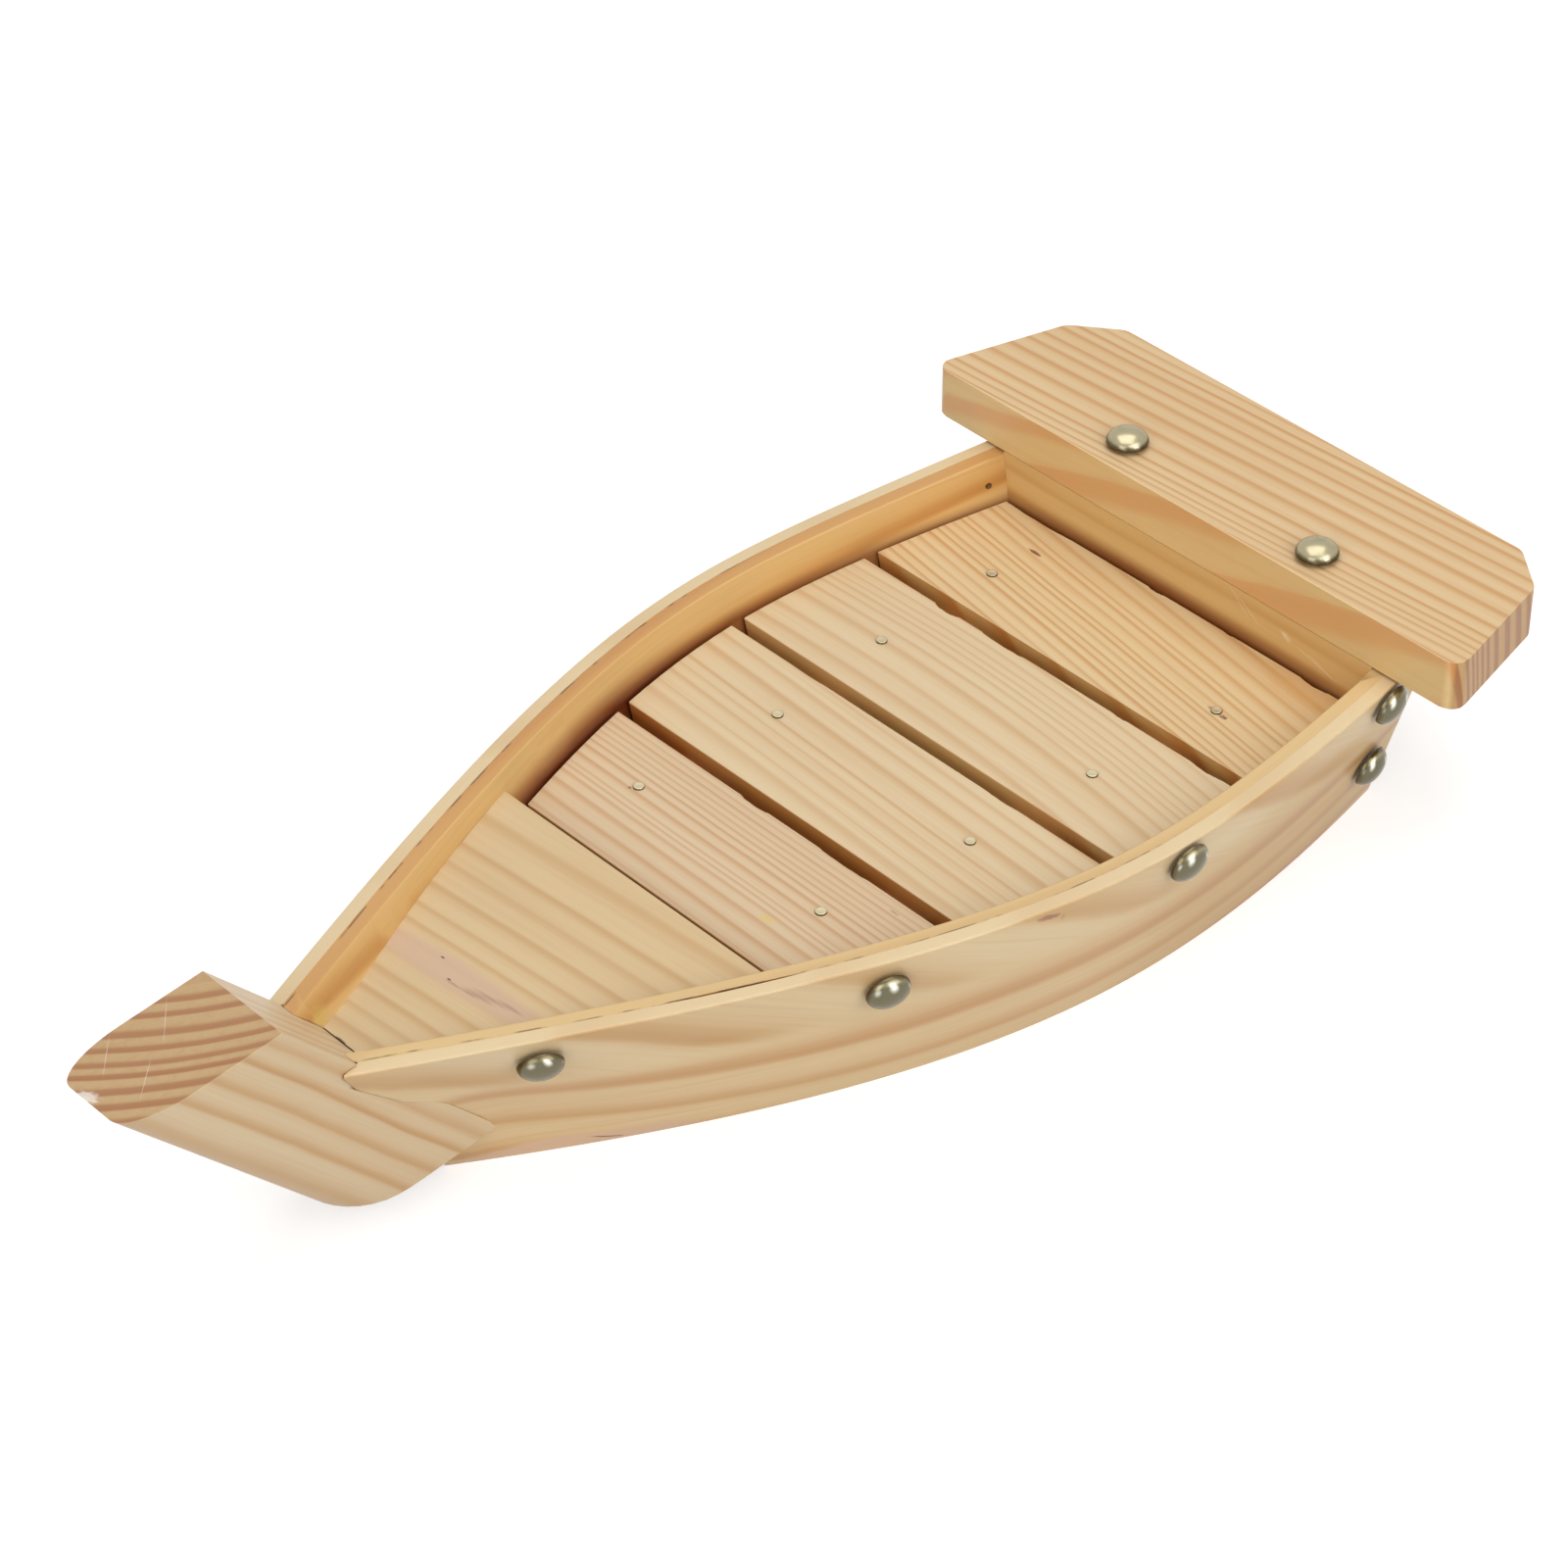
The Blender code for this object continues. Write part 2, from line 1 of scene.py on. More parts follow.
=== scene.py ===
# %% [markdown]
# # A wooden sushi boat
#
# The boat is a serving dish of varnished pine: two bent sides of two plies each, a leaning stem
# block, a transom with a wide stern board on it, a foredeck, and a slat deck that lifts out.
# The CAD frame gives every piece its size and place. This lesson gives each piece its finish:
# rounded edges, growth rings that run the way the board was sawn, brass nails, and the marks
# that hand work leaves behind.

import math

import bmesh
import bpy
import numpy as np
from mathutils import Matrix, Vector
from mathutils.bvhtree import BVHTree


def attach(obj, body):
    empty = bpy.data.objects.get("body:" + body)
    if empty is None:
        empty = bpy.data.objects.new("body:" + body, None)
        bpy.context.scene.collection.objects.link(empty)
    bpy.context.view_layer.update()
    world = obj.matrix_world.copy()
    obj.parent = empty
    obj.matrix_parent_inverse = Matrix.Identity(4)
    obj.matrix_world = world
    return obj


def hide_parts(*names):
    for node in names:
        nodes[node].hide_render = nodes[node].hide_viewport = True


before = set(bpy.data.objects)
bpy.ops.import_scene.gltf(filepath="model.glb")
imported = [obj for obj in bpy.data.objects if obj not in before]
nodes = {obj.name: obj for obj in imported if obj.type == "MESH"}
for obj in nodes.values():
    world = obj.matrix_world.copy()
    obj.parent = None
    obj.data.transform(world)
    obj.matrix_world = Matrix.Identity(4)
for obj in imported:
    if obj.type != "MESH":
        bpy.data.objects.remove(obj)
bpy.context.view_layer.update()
MM = 0.001

# %% [markdown]
# ## The camera
#
# The photograph looks down over the port bow. Its long lens was found by lining up the corners
# of the boards with the picture. A camera could be turned by its angles, but aiming it along a
# line is easier to read: the azimuth and elevation give the line from the boat back to the lens.

# %% Place the camera
CAMERA_PLACE = Vector((-627.9, -695.0, 781.4)) * MM
AZIMUTH = math.radians(-42.46)
ELEVATION = math.radians(37.82)
FOCAL_PIXELS = 4986.9
PHOTO_PIXELS = 1600
SENSOR = 36.0

camera = bpy.data.objects.new("photo_camera", bpy.data.cameras.new("photo_camera"))
bpy.context.scene.collection.objects.link(camera)
back = Vector((
    math.sin(AZIMUTH) * math.cos(ELEVATION),
    -math.cos(AZIMUTH) * math.cos(ELEVATION),
    math.sin(ELEVATION),
))
camera.location = CAMERA_PLACE
camera.rotation_mode = "QUATERNION"
camera.rotation_quaternion = (-back).to_track_quat("-Z", "Y")
camera.data.sensor_width = SENSOR
camera.data.lens = FOCAL_PIXELS / PHOTO_PIXELS * SENSOR
camera.data.clip_start = 0.05
camera.data.clip_end = 50.0
bpy.context.scene.camera = camera
bpy.context.scene.view_settings.view_transform = "Standard"
print("camera lens:", round(camera.data.lens, 1), "mm")

# %% [markdown]
# ## Small helpers for shader nodes
#
# A material is a chain of small sums. Writing each sum as one short call keeps the chain
# readable. Every helper takes sockets or plain values, and gives back the socket that comes out.

# %% Node helpers
def colour(red, green, blue):
    """A screen colour, 0 to 255, as the linear values that a shader socket takes."""
    def straight(value):
        share = value / 255
        return share / 12.92 if share <= 0.04045 else ((share + 0.055) / 1.055) ** 2.4
    return straight(red), straight(green), straight(blue), 1.0


def feed(tree, socket, value):
    """Link a socket into this one, or set its value."""
    if isinstance(value, bpy.types.NodeSocket):
        tree.links.new(value, socket)
    else:
        socket.default_value = value


def sums(tree, operation, first, second=0.0, third=None):
    """One step of arithmetic."""
    node = tree.nodes.new("ShaderNodeMath")
    node.operation = operation
    feed(tree, node.inputs[0], first)
    feed(tree, node.inputs[1], second)
    if third is not None:
        feed(tree, node.inputs[2], third)
    return node.outputs[0]


def vectors(tree, operation, first, second=(0.0, 0.0, 0.0)):
    """One step of vector arithmetic."""
    node = tree.nodes.new("ShaderNodeVectorMath")
    node.operation = operation
    feed(tree, node.inputs[0], first)
    feed(tree, node.inputs[1], second)
    return node.outputs["Value" if operation in ("LENGTH", "DOT_PRODUCT") else "Vector"]


print("mid grey is", round(colour(128, 128, 128)[0], 3), "in linear light")

# %% [markdown]
# ## Helpers for patterns
#
# Noise gives wood its uneven lines, a smooth step turns a value into a soft-edged mask, and a mix
# lays one colour over another. A node group keeps a whole pattern in one box with named sockets.

# %% Pattern helpers
def noise(tree, vector, stretch, seed=0.0, detail=2.0):
    """Noise whose grain is stretched: small numbers make long features."""
    node = tree.nodes.new("ShaderNodeTexNoise")
    node.noise_dimensions = "4D"
    feed(tree, node.inputs["Vector"], vectors(tree, "MULTIPLY", vector, stretch))
    feed(tree, node.inputs["W"], seed)
    node.inputs["Scale"].default_value = 1.0
    node.inputs["Detail"].default_value = detail
    return node.outputs[0]


def ease(tree, value, low, high, out_low=0.0, out_high=1.0):
    """A smooth step of the value from low to high."""
    node = tree.nodes.new("ShaderNodeMapRange")
    node.interpolation_type = "SMOOTHSTEP"
    for socket, given in zip(node.inputs, (value, low, high, out_low, out_high)):
        feed(tree, socket, given)
    return node.outputs[0]


def profile(tree, value, stops):
    """A height for each place along 0 to 1, joined by straight lines."""
    ramp = tree.nodes.new("ShaderNodeValToRGB")
    feed(tree, ramp.inputs[0], value)
    marks = ramp.color_ramp.elements
    marks.remove(marks[1])
    marks[0].position = stops[0][0]
    marks[0].color = (*[stops[0][1]] * 3, 1.0)
    for place, height in stops[1:]:
        marks.new(place).color = (height, height, height, 1.0)
    return ramp.outputs[0]


def blend(tree, share, first, second, way="MIX"):
    """Two colours mixed."""
    node = tree.nodes.new("ShaderNodeMix")
    node.data_type = "RGBA"
    node.blend_type = way
    feed(tree, node.inputs[0], share)
    feed(tree, node.inputs[6], first)
    feed(tree, node.inputs[7], second)
    return node.outputs[2]


def new_group(name, inputs, outputs):
    """An empty node group with named sockets, and its two ends."""
    group = bpy.data.node_groups.new(name, "ShaderNodeTree")
    for label, kind, value in inputs:
        socket = group.interface.new_socket(label, in_out="INPUT", socket_type="NodeSocket" + kind)
        socket.default_value = value
    for label, kind in outputs:
        group.interface.new_socket(label, in_out="OUTPUT", socket_type="NodeSocket" + kind)
    return group, group.nodes.new("NodeGroupInput"), group.nodes.new("NodeGroupOutput")


print("pattern helpers ready")

# %% [markdown]
# ## Growth rings in solid wood
#
# A pine trunk is a stack of cones, one a year: pale soft wood in spring, then orange wood that
# darkens to a line in autumn. A board shows whatever rings the saw cut through. A flat picture of
# grain could be laid on each face, but then the edges wouldn't match the faces. Here the rings are
# worked out in the solid, so faces, edges and end grain agree by themselves. The first group finds
# how far across the rings a point lies, with the slow waves and the sweep of a real trunk.

# %% The trunk group
TRUNK_SOCKETS = (
    ("Board", "Vector", (0.0, 0.0, 0.0)),       # millimetres, X along the grain, Y out across the rings
    ("Pith away", "Float", 200.0),
    ("Sweep", "Float", 0.0),
    ("Wander", "Float", 1.0),
    ("Seed", "Float", 0.0),
)
SLOW_WAVES = (0.014, 0.03, 0.03)
QUICK_WAVES = (0.05, 0.1, 0.1)
QUICK_SHARE = 0.3
NOISE_MEAN = 0.5
trunk, given, result = new_group("trunk", TRUNK_SOCKETS, (("Across", "Float"),))
axes = trunk.nodes.new("ShaderNodeSeparateXYZ")
feed(trunk, axes.inputs[0], given.outputs["Board"])
along, outward, aside = axes.outputs
slow = noise(trunk, given.outputs["Board"], SLOW_WAVES, given.outputs["Seed"], 1.0)
quick = noise(trunk, given.outputs["Board"], QUICK_WAVES, given.outputs["Seed"], 1.0)
waves = sums(trunk, "MULTIPLY_ADD", quick, QUICK_SHARE, slow)
waves = sums(trunk, "SUBTRACT", waves, NOISE_MEAN * (1 + QUICK_SHARE))
swept = sums(trunk, "MULTIPLY", sums(trunk, "MULTIPLY", along, along), given.outputs["Sweep"])
swept = sums(trunk, "ADD", sums(trunk, "MULTIPLY_ADD", waves, given.outputs["Wander"], swept), outward)
from_pith = sums(trunk, "ADD", swept, given.outputs["Pith away"])
squares = sums(trunk, "MULTIPLY_ADD", aside, aside, sums(trunk, "MULTIPLY", from_pith, from_pith))
radius = sums(trunk, "SQRT", squares)
feed(trunk, result.inputs["Across"], sums(trunk, "SUBTRACT", radius, given.outputs["Pith away"]))
print("trunk group:", len(trunk.nodes), "nodes")

# %% [markdown]
# ## The wood of one year
#
# The second group colours the wood. Within a year the tone climbs slowly from spring to autumn and
# then drops at once, so a ring has one soft side and one sharp side. A ramp could hold the colours
# themselves, but two ramps of plain shares let every board bring its own three colours.

# %% The pine group
PINE_SOCKETS = (
    ("Board", "Vector", (0.0, 0.0, 0.0)),
    ("Years", "Float", 0.0),
    ("Seed", "Float", 0.0),
    ("Contrast", "Float", 1.0),
    ("End grain", "Float", 0.0),
    ("Along rings", "Float", 0.0),
    ("Spring wood", "Color", colour(226, 203, 163)),
    ("Summer wood", "Color", colour(214, 176, 122)),
    ("Autumn line", "Color", colour(190, 138, 88)),
)
# How much summer wood and autumn line there is at each share of a year
SUMMER = (
    (0.0, 0.30), (0.10, 0.04), (0.28, 0.02), (0.50, 0.22),
    (0.72, 0.78), (0.84, 1.0), (0.92, 0.9), (1.0, 0.30))
AUTUMN = ((0.62, 0.0), (0.86, 1.0), (0.98, 0.0))
SUMMER_SHARE = 0.9
AUTUMN_SHARE = 0.45
BLUSH = colour(214, 178, 140)
FIBRE_GRAIN = (0.03, 1.5, 1.5)
STREAK_GRAIN = (0.012, 0.5, 0.5)
DRIFT_GRAIN = (0.008, 0.035, 0.035)
# Each cover is the noise where a layer starts and where it is full, and its share at those two
FIBRE_COVER = (0.4, 0.8, 0.0, 0.14)
STREAK_COVER = (0.45, 0.75, 0.0, 0.28)
DRIFT_COVER = (0.35, 0.7, 0.0, 0.10)

pine, given, result = new_group(
    "pine_rings", PINE_SOCKETS, (("Colour", "Color"), ("Height", "Float")))
board, years, seed, contrast, end, broad = (given.outputs[label] for label, _, _ in PINE_SOCKETS[:6])
spring_wood, summer_wood, autumn_line = (given.outputs[label] for label, _, _ in PINE_SOCKETS[6:])
season = sums(pine, "FRACT", years)
year = pine.nodes.new("ShaderNodeTexWhiteNoise")
year.noise_dimensions = "1D"
feed(pine, year.inputs["W"], sums(pine, "ADD", sums(pine, "FLOOR", years), seed))
strength = sums(pine, "MULTIPLY", sums(pine, "MULTIPLY_ADD", year.outputs["Value"], 0.5, 0.5), contrast)
summer = sums(pine, "MULTIPLY", profile(pine, season, SUMMER), strength)
autumn = sums(pine, "MULTIPLY", profile(pine, season, AUTUMN), strength)

# Fibres run along the grain as fine streaks, and the tone drifts slowly over the board
fibre = noise(pine, board, FIBRE_GRAIN, seed, 3.0)
streak = noise(pine, board, STREAK_GRAIN, seed, 2.0)
drift = noise(pine, board, DRIFT_GRAIN, seed, 1.0)
wood = blend(pine, sums(pine, "MULTIPLY", summer, SUMMER_SHARE), spring_wood, summer_wood)
wood = blend(pine, sums(pine, "MULTIPLY", autumn, AUTUMN_SHARE), wood, autumn_line)
wood = blend(pine, ease(pine, streak, *STREAK_COVER), wood, summer_wood)
wood = blend(pine, ease(pine, fibre, *FIBRE_COVER), wood, autumn_line)
wood = blend(pine, ease(pine, drift, *DRIFT_COVER), wood, BLUSH, "MULTIPLY")
print("rings and fibres:", len(pine.nodes), "nodes")

# %% [markdown]
# ## End grain and flames
#
# A face looks different by how the saw met the rings. End grain drinks varnish: the wood is darker
# there, and each autumn stands out red-brown. A face sawn along the rings shows each of them broad,
# as a flame. Each kind of face could have a material of its own, but then the rings would break at
# the edges, so two masks add both to the same group.

# %% End grain and flames
END_WOOD = colour(221, 204, 178)
END_LINE = colour(152, 94, 56)
FLAME_WOOD = colour(255, 250, 226)
FLAME_LINE = colour(212, 142, 78)
END_SHARE = 0.9
END_LINE_SHARE = 0.62
FLAME_SHARE = 0.78

wood = blend(pine, sums(pine, "MULTIPLY", end, END_SHARE), wood, END_WOOD, "MULTIPLY")
red = sums(pine, "MULTIPLY", ease(pine, summer, 0.08, 0.5), end)
wood = blend(pine, sums(pine, "MULTIPLY", red, END_LINE_SHARE), wood, END_LINE)
wood = blend(pine, broad, wood, FLAME_WOOD, "MULTIPLY")
flame = sums(pine, "MULTIPLY", ease(pine, summer, 0.12, 0.6), broad)
wood = blend(pine, sums(pine, "MULTIPLY", flame, FLAME_SHARE), wood, FLAME_LINE)
feed(pine, result.inputs["Colour"], wood)
relief = sums(pine, "MULTIPLY_ADD", fibre, 0.5, sums(pine, "MULTIPLY", summer, 0.5))
feed(pine, result.inputs["Height"], relief)
print("pine group:", len(pine.nodes), "nodes")

# %% [markdown]
# ## Spots, stains and scratches
#
# Real boards carry a few marks: a resin streak, a stain, a nick with pale torn fibres. Each could
# be painted on a picture, but a mask worked out from a place in the solid needs no picture and
# stays sharp. One group makes a soft, ragged ellipse, and every mark in the boat uses it.

# %% The spot group
SPOT_SOCKETS = (
    ("Point", "Vector", (0.0, 0.0, 0.0)),
    ("Centre", "Vector", (0.0, 0.0, 0.0)),
    ("Turn", "Vector", (0.0, 0.0, 0.0)),
    ("Reach", "Vector", (1.0, 1.0, 1.0)),
    ("Ragged", "Float", 0.4),
    ("Soft", "Float", 0.6),
)
RAGGED_GRAIN = (2.5, 2.5, 2.5)
spot, given, result = new_group("spot_mask", SPOT_SOCKETS, (("Mask", "Float"),))
local = spot.nodes.new("ShaderNodeMapping")
local.vector_type = "TEXTURE"
for socket, label in zip(local.inputs, ("Point", "Centre", "Turn", "Reach")):
    feed(spot, socket, given.outputs[label])
rough = noise(spot, local.outputs[0], RAGGED_GRAIN, 0.0, 3.0)
rough = sums(spot, "SUBTRACT", rough, NOISE_MEAN)
away = vectors(spot, "LENGTH", local.outputs[0])
away = sums(spot, "MULTIPLY_ADD", rough, given.outputs["Ragged"], away)
inner = sums(spot, "SUBTRACT", 1.0, given.outputs["Soft"])
feed(spot, result.inputs["Mask"], ease(spot, away, inner, 1.0, 1.0, 0.0))
print("spot group:", len(spot.nodes), "nodes")

# %% [markdown]
# ## Sawing a board
#
# Board space is set by what a sawyer would know: which way the grain runs, which way is out from the
# pith, and where each ring was crossed. A Mapping node set to Texture undoes that placing. The rings
# could be evenly spaced, but a real tree had good and bad years, so most boards list the distance of
# each autumn line in millimetres.

# %% Saw a board
PALETTES = {
    "plain": (colour(222, 199, 160), colour(209, 173, 126), colour(193, 150, 102)),
    "side": (colour(225, 201, 157), colour(208, 168, 112), colour(192, 146, 92)),
    "deck": (colour(215, 188, 144), colour(203, 166, 117), colour(188, 148, 98)),
    "stem": (colour(216, 193, 156), colour(202, 162, 112), colour(186, 142, 94)),
    "pink": (colour(219, 194, 158), colour(206, 166, 122), colour(190, 144, 104)),
    "orange": (colour(223, 194, 148), colour(210, 164, 108), colour(192, 134, 78)),
    "amber": (colour(223, 196, 150), colour(208, 164, 108), colour(191, 138, 84)),
    "golden": (colour(219, 181, 118), colour(205, 154, 86), colour(180, 122, 60)),
}


def place_group(tree, group, values):
    """Put a group in a tree and feed its sockets."""
    node = tree.nodes.new("ShaderNodeGroup")
    node.node_tree = group
    for label, value in values.items():
        feed(tree, node.inputs[label], value)
    return node


def count_years(tree, across, rings):
    """Turn a distance across the rings into years: an even width, or the places of the autumn lines."""
    if isinstance(rings, float):
        return sums(tree, "DIVIDE", across, rings)
    first, last = rings[0], rings[-1]
    share = sums(tree, "DIVIDE", sums(tree, "SUBTRACT", across, first), last - first)
    count = len(rings) - 1
    stops = [((line - first) / (last - first), index / count) for index, line in enumerate(rings)]
    return sums(tree, "MULTIPLY", profile(tree, share, stops), float(count))


def sawn_rings(tree, point, origin, grain, outward, rings, palette="plain",
               pith=200.0, sweep=0.0, wander=2.0, seed=0.0, contrast=1.0, end=0.0, broad=0.0):
    """The wood of one board. Origin, rings, pith and wander are in millimetres."""
    along = Vector(grain).normalized()
    out = Vector(outward)
    out = (out - out.dot(along) * along).normalized()
    sawn = tree.nodes.new("ShaderNodeMapping")
    sawn.vector_type = "TEXTURE"
    feed(tree, sawn.inputs["Vector"], point)
    sawn.inputs["Location"].default_value = Vector(origin) * MM
    sawn.inputs["Rotation"].default_value = Matrix((along, out, along.cross(out))).transposed().to_euler()
    sawn.inputs["Scale"].default_value = (MM, MM, MM)
    grown = place_group(tree, trunk, {
        "Board": sawn.outputs[0], "Pith away": pith, "Sweep": sweep, "Wander": wander, "Seed": seed})
    spring, summer, autumn = PALETTES[palette]
    return place_group(tree, pine, {
        "Board": sawn.outputs[0], "Years": count_years(tree, grown.outputs[0], rings), "Seed": seed,
        "Contrast": contrast, "End grain": end, "Along rings": broad,
        "Spring wood": spring, "Summer wood": summer, "Autumn line": autumn})


print("pine palettes:", ", ".join(PALETTES))

# %% [markdown]
# ## Varnish
#
# Every board has the same satin varnish over its own wood. It sinks into the soft spring wood, which
# stays a little rougher. A clear coat could be laid over the shader, but one layer with a varnish's
# index of refraction has the same sheen and fewer values to set. The way a face points tells end
# grain from a face along the rings.

# %% Varnish a board
BUMP_DEPTH = 0.2 * MM
BUMP_STRENGTH = 0.2
VARNISH_IOR = 1.48
VARNISH_ROUGHNESS = (0.46, 0.36)
END_FACING = (0.5, 0.75)
BROAD_FACING = (0.6, 0.85)


def varnish(material, tint, height):
    """Lay the wood's colour and relief under a satin varnish."""
    tree = material.node_tree
    shader = tree.nodes["Principled BSDF"]
    feed(tree, shader.inputs["Base Color"], tint)
    feed(tree, shader.inputs["Roughness"], ease(tree, height, 0.1, 0.9, *VARNISH_ROUGHNESS))
    bump = tree.nodes.new("ShaderNodeBump")
    bump.inputs["Strength"].default_value = BUMP_STRENGTH
    bump.inputs["Distance"].default_value = BUMP_DEPTH
    feed(tree, bump.inputs["Height"], height)
    feed(tree, shader.inputs["Normal"], bump.outputs[0])
    shader.inputs["IOR"].default_value = VARNISH_IOR


def new_material(name):
    """An empty material and its node tree."""
    material = bpy.data.materials.new(name)
    material.use_nodes = True
    return material, material.node_tree


def pine_material(name, origin, grain, outward, rings, palette="plain", flames=0.0, **habit):
    """Varnished pine for a straight board. Flames is how strongly a face along the rings shows them."""
    material, tree = new_material(name)
    place = tree.nodes.new("ShaderNodeTexCoord")
    facing = vectors(tree, "DOT_PRODUCT", place.outputs["Normal"], tuple(Vector(grain).normalized()))
    end = ease(tree, sums(tree, "ABSOLUTE", facing), *END_FACING)
    facing = vectors(tree, "DOT_PRODUCT", place.outputs["Normal"], tuple(Vector(outward).normalized()))
    broad = ease(tree, sums(tree, "ABSOLUTE", facing), *BROAD_FACING, 0.0, flames)
    wood = sawn_rings(
        tree, place.outputs["Object"], origin, grain, outward, rings, palette, end=end, broad=broad, **habit)
    varnish(material, wood.outputs["Colour"], wood.outputs["Height"])
    return material


print("varnish: index", VARNISH_IOR, "and roughness", VARNISH_ROUGHNESS)

# %% [markdown]
# ## Laying a mark
#
# A mark goes over what the board already shows. The helper finds the link that feeds the base colour
# and puts a mix in between, so marks can be added one by one, and a later one covers an earlier one.

# %% Lay a mark
def mark(material, tint, share, centre, reach, turn=(0.0, 0.0, 0.0), ragged=0.4, soft=0.6, way="MIX"):
    """Lay a stain, streak or scratch over the wood. Centre and reach are in millimetres."""
    tree = material.node_tree
    socket = tree.nodes["Principled BSDF"].inputs["Base Color"]
    under = socket.links[0].from_socket
    place = tree.nodes.new("ShaderNodeTexCoord")
    mask = place_group(tree, spot, {
        "Point": place.outputs["Object"], "Centre": Vector(centre) * MM, "Reach": Vector(reach) * MM,
        "Turn": [math.radians(angle) for angle in turn], "Ragged": ragged, "Soft": soft})
    covered = sums(tree, "MULTIPLY", mask.outputs[0], share)
    feed(tree, socket, blend(tree, covered, under, tint, way))


print("marks use the group", spot.name)

# %% [markdown]
# ## Selecting in code
#
# By hand, edges and faces are picked with the mouse. Here a short test picks them, by their place or
# their normal. An operator acts on all that is selected, so everything else is deselected first.

# %% Selection helpers
def only(piece):
    """Select this object alone."""
    bpy.ops.object.select_all(action="DESELECT")
    piece.select_set(True)
    bpy.context.view_layer.objects.active = piece


def choose(piece, test, kind="EDGE"):
    """In edit mode, select what passes the test, and say how many."""
    bpy.ops.mesh.select_mode(type=kind)
    bpy.ops.mesh.select_all(action="DESELECT")
    mesh = bmesh.from_edit_mesh(piece.data)
    items = {"VERT": mesh.verts, "EDGE": mesh.edges, "FACE": mesh.faces}[kind]
    chosen = [item for item in items if test(item)]
    for item in chosen:
        item.select_set(True)
    mesh.select_flush_mode()
    bmesh.update_edit_mesh(piece.data)
    return len(chosen)


# %% [markdown]
# ## Where the nails are
#
# The places of the nails could be typed in, but the frame already holds them. A nail is a turned
# shape, so its points spread alike in two directions, and the third is its axis. The head is at the
# end that has the rim.

# %% Nail places
HOLE_RADIUS = 1.6 * MM
RIM_SHARE = 0.95


def nail_place(node):
    """The middle of a nail's head at its rim, and the direction out through the head."""
    points = np.array([vertex.co for vertex in nodes[node].data.vertices])
    middle = points.mean(0)
    spread, lines = np.linalg.eigh(np.cov((points - middle).T))
    # A turned shape spreads alike two ways, and the third way is its axis
    axis = lines[:, 0] if spread[1] - spread[0] > spread[2] - spread[1] else lines[:, 2]
    along = (points - middle) @ axis
    out = np.linalg.norm(points - middle - np.outer(along, axis), axis=1)
    rim = along[out > RIM_SHARE * out.max()].min()
    if along.max() - rim > rim - along.min():
        axis, along = -axis, -along
        rim = along[out > RIM_SHARE * out.max()].min()
    return Vector(middle + rim * axis), Vector(axis)


nail_places = {name: nail_place(name) for name in nodes if "nail" in name}


def in_nail_hole(face):
    """True for the faces inside a nail hole."""
    for middle, axis in nail_places.values():
        offsets = [vertex.co - middle for vertex in face.verts]
        if all((gap - gap.dot(axis) * axis).length < HOLE_RADIUS for gap in offsets):
            return True
    return False


print("nails found:", len(nail_places))

# %% [markdown]
# ## Working on a copy of a CAD board
#
# The CAD nodes are never changed, so each board is finished on a copy. The copy arrives as loose
# triangles. Merging its points makes it one skin again, and dissolving flat edges leaves whole
# faces, which bevel cleanly. Nail holes are closed under their nails, because a bevel would
# otherwise round those too.

# %% Copy a board
MERGE = 0.002 * MM
COPLANAR = math.radians(0.05)
SHARP = math.radians(32)


def copy_of(node, flat=True):
    """A merged copy of a CAD board with its nail holes closed, in edit mode."""
    piece = bpy.data.objects.new(node + "_wood", nodes[node].data.copy())
    bpy.context.scene.collection.objects.link(piece)
    piece.data.materials.clear()
    only(piece)
    bpy.ops.mesh.customdata_custom_splitnormals_clear()
    bpy.ops.object.mode_set(mode="EDIT")
    bpy.ops.mesh.select_all(action="SELECT")
    bpy.ops.mesh.remove_doubles(threshold=MERGE)
    if choose(piece, in_nail_hole, "FACE"):
        bpy.ops.mesh.delete(type="FACE")
        choose(piece, lambda edge: edge.is_boundary)
        bpy.ops.mesh.fill_holes(sides=0)
    bpy.ops.mesh.select_all(action="SELECT")
    if flat:
        bpy.ops.mesh.dissolve_limited(angle_limit=COPLANAR)
    else:
        bpy.ops.mesh.tris_convert_to_quads(face_threshold=SHARP, shape_threshold=SHARP)
    return piece


print("an edge is sharp from", round(math.degrees(SHARP)), "degrees")

# %% [markdown]
# ## Rounded edges and tight joints
#
# Sandpaper rounds the edges that stand free, and the edges inside a joint stay sharp. A Bevel
# modifier would round them all, so each edge is first tested for a neighbour close by. The faces of
# a glued joint are then brought together, until only a fine line shows.

# %% Round edges and close joints
CONTACT = 0.6 * MM
ROUND_SEGMENTS = 3
JOINT_CLOSE = 0.13 * MM
JOINT_OPEN = 0.2 * MM
OPPOSED = -0.5
# No joint is closed against the deck, which lifts out, or against a nail
LOOSE = ("slat", "port_runner", "starboard_runner", "plank_nail", "stern_board_nail")

trees = {
    name: BVHTree.FromPolygons([v.co for v in node.data.vertices], [p.vertices for p in node.data.polygons])
    for name, node in nodes.items()
}


def round_edges(piece, node, width, test=None):
    """Round the sharp edges that stand free of every neighbour."""
    others = [tree for name, tree in trees.items() if name != node and "nail" not in name]

    def free(edge):
        if len(edge.link_faces) != 2 or edge.calc_face_angle() < SHARP:
            return False
        if test is not None and not test(edge):
            return False
        first, last = (vertex.co for vertex in edge.verts)
        places = (first, last, (first + last) / 2)
        return all(tree.find_nearest(spot, CONTACT)[0] is None for tree in others for spot in places)

    count = choose(piece, free)
    if count:
        bpy.ops.mesh.bevel(offset=width, segments=ROUND_SEGMENTS, profile=0.5, clamp_overlap=True)
    return count


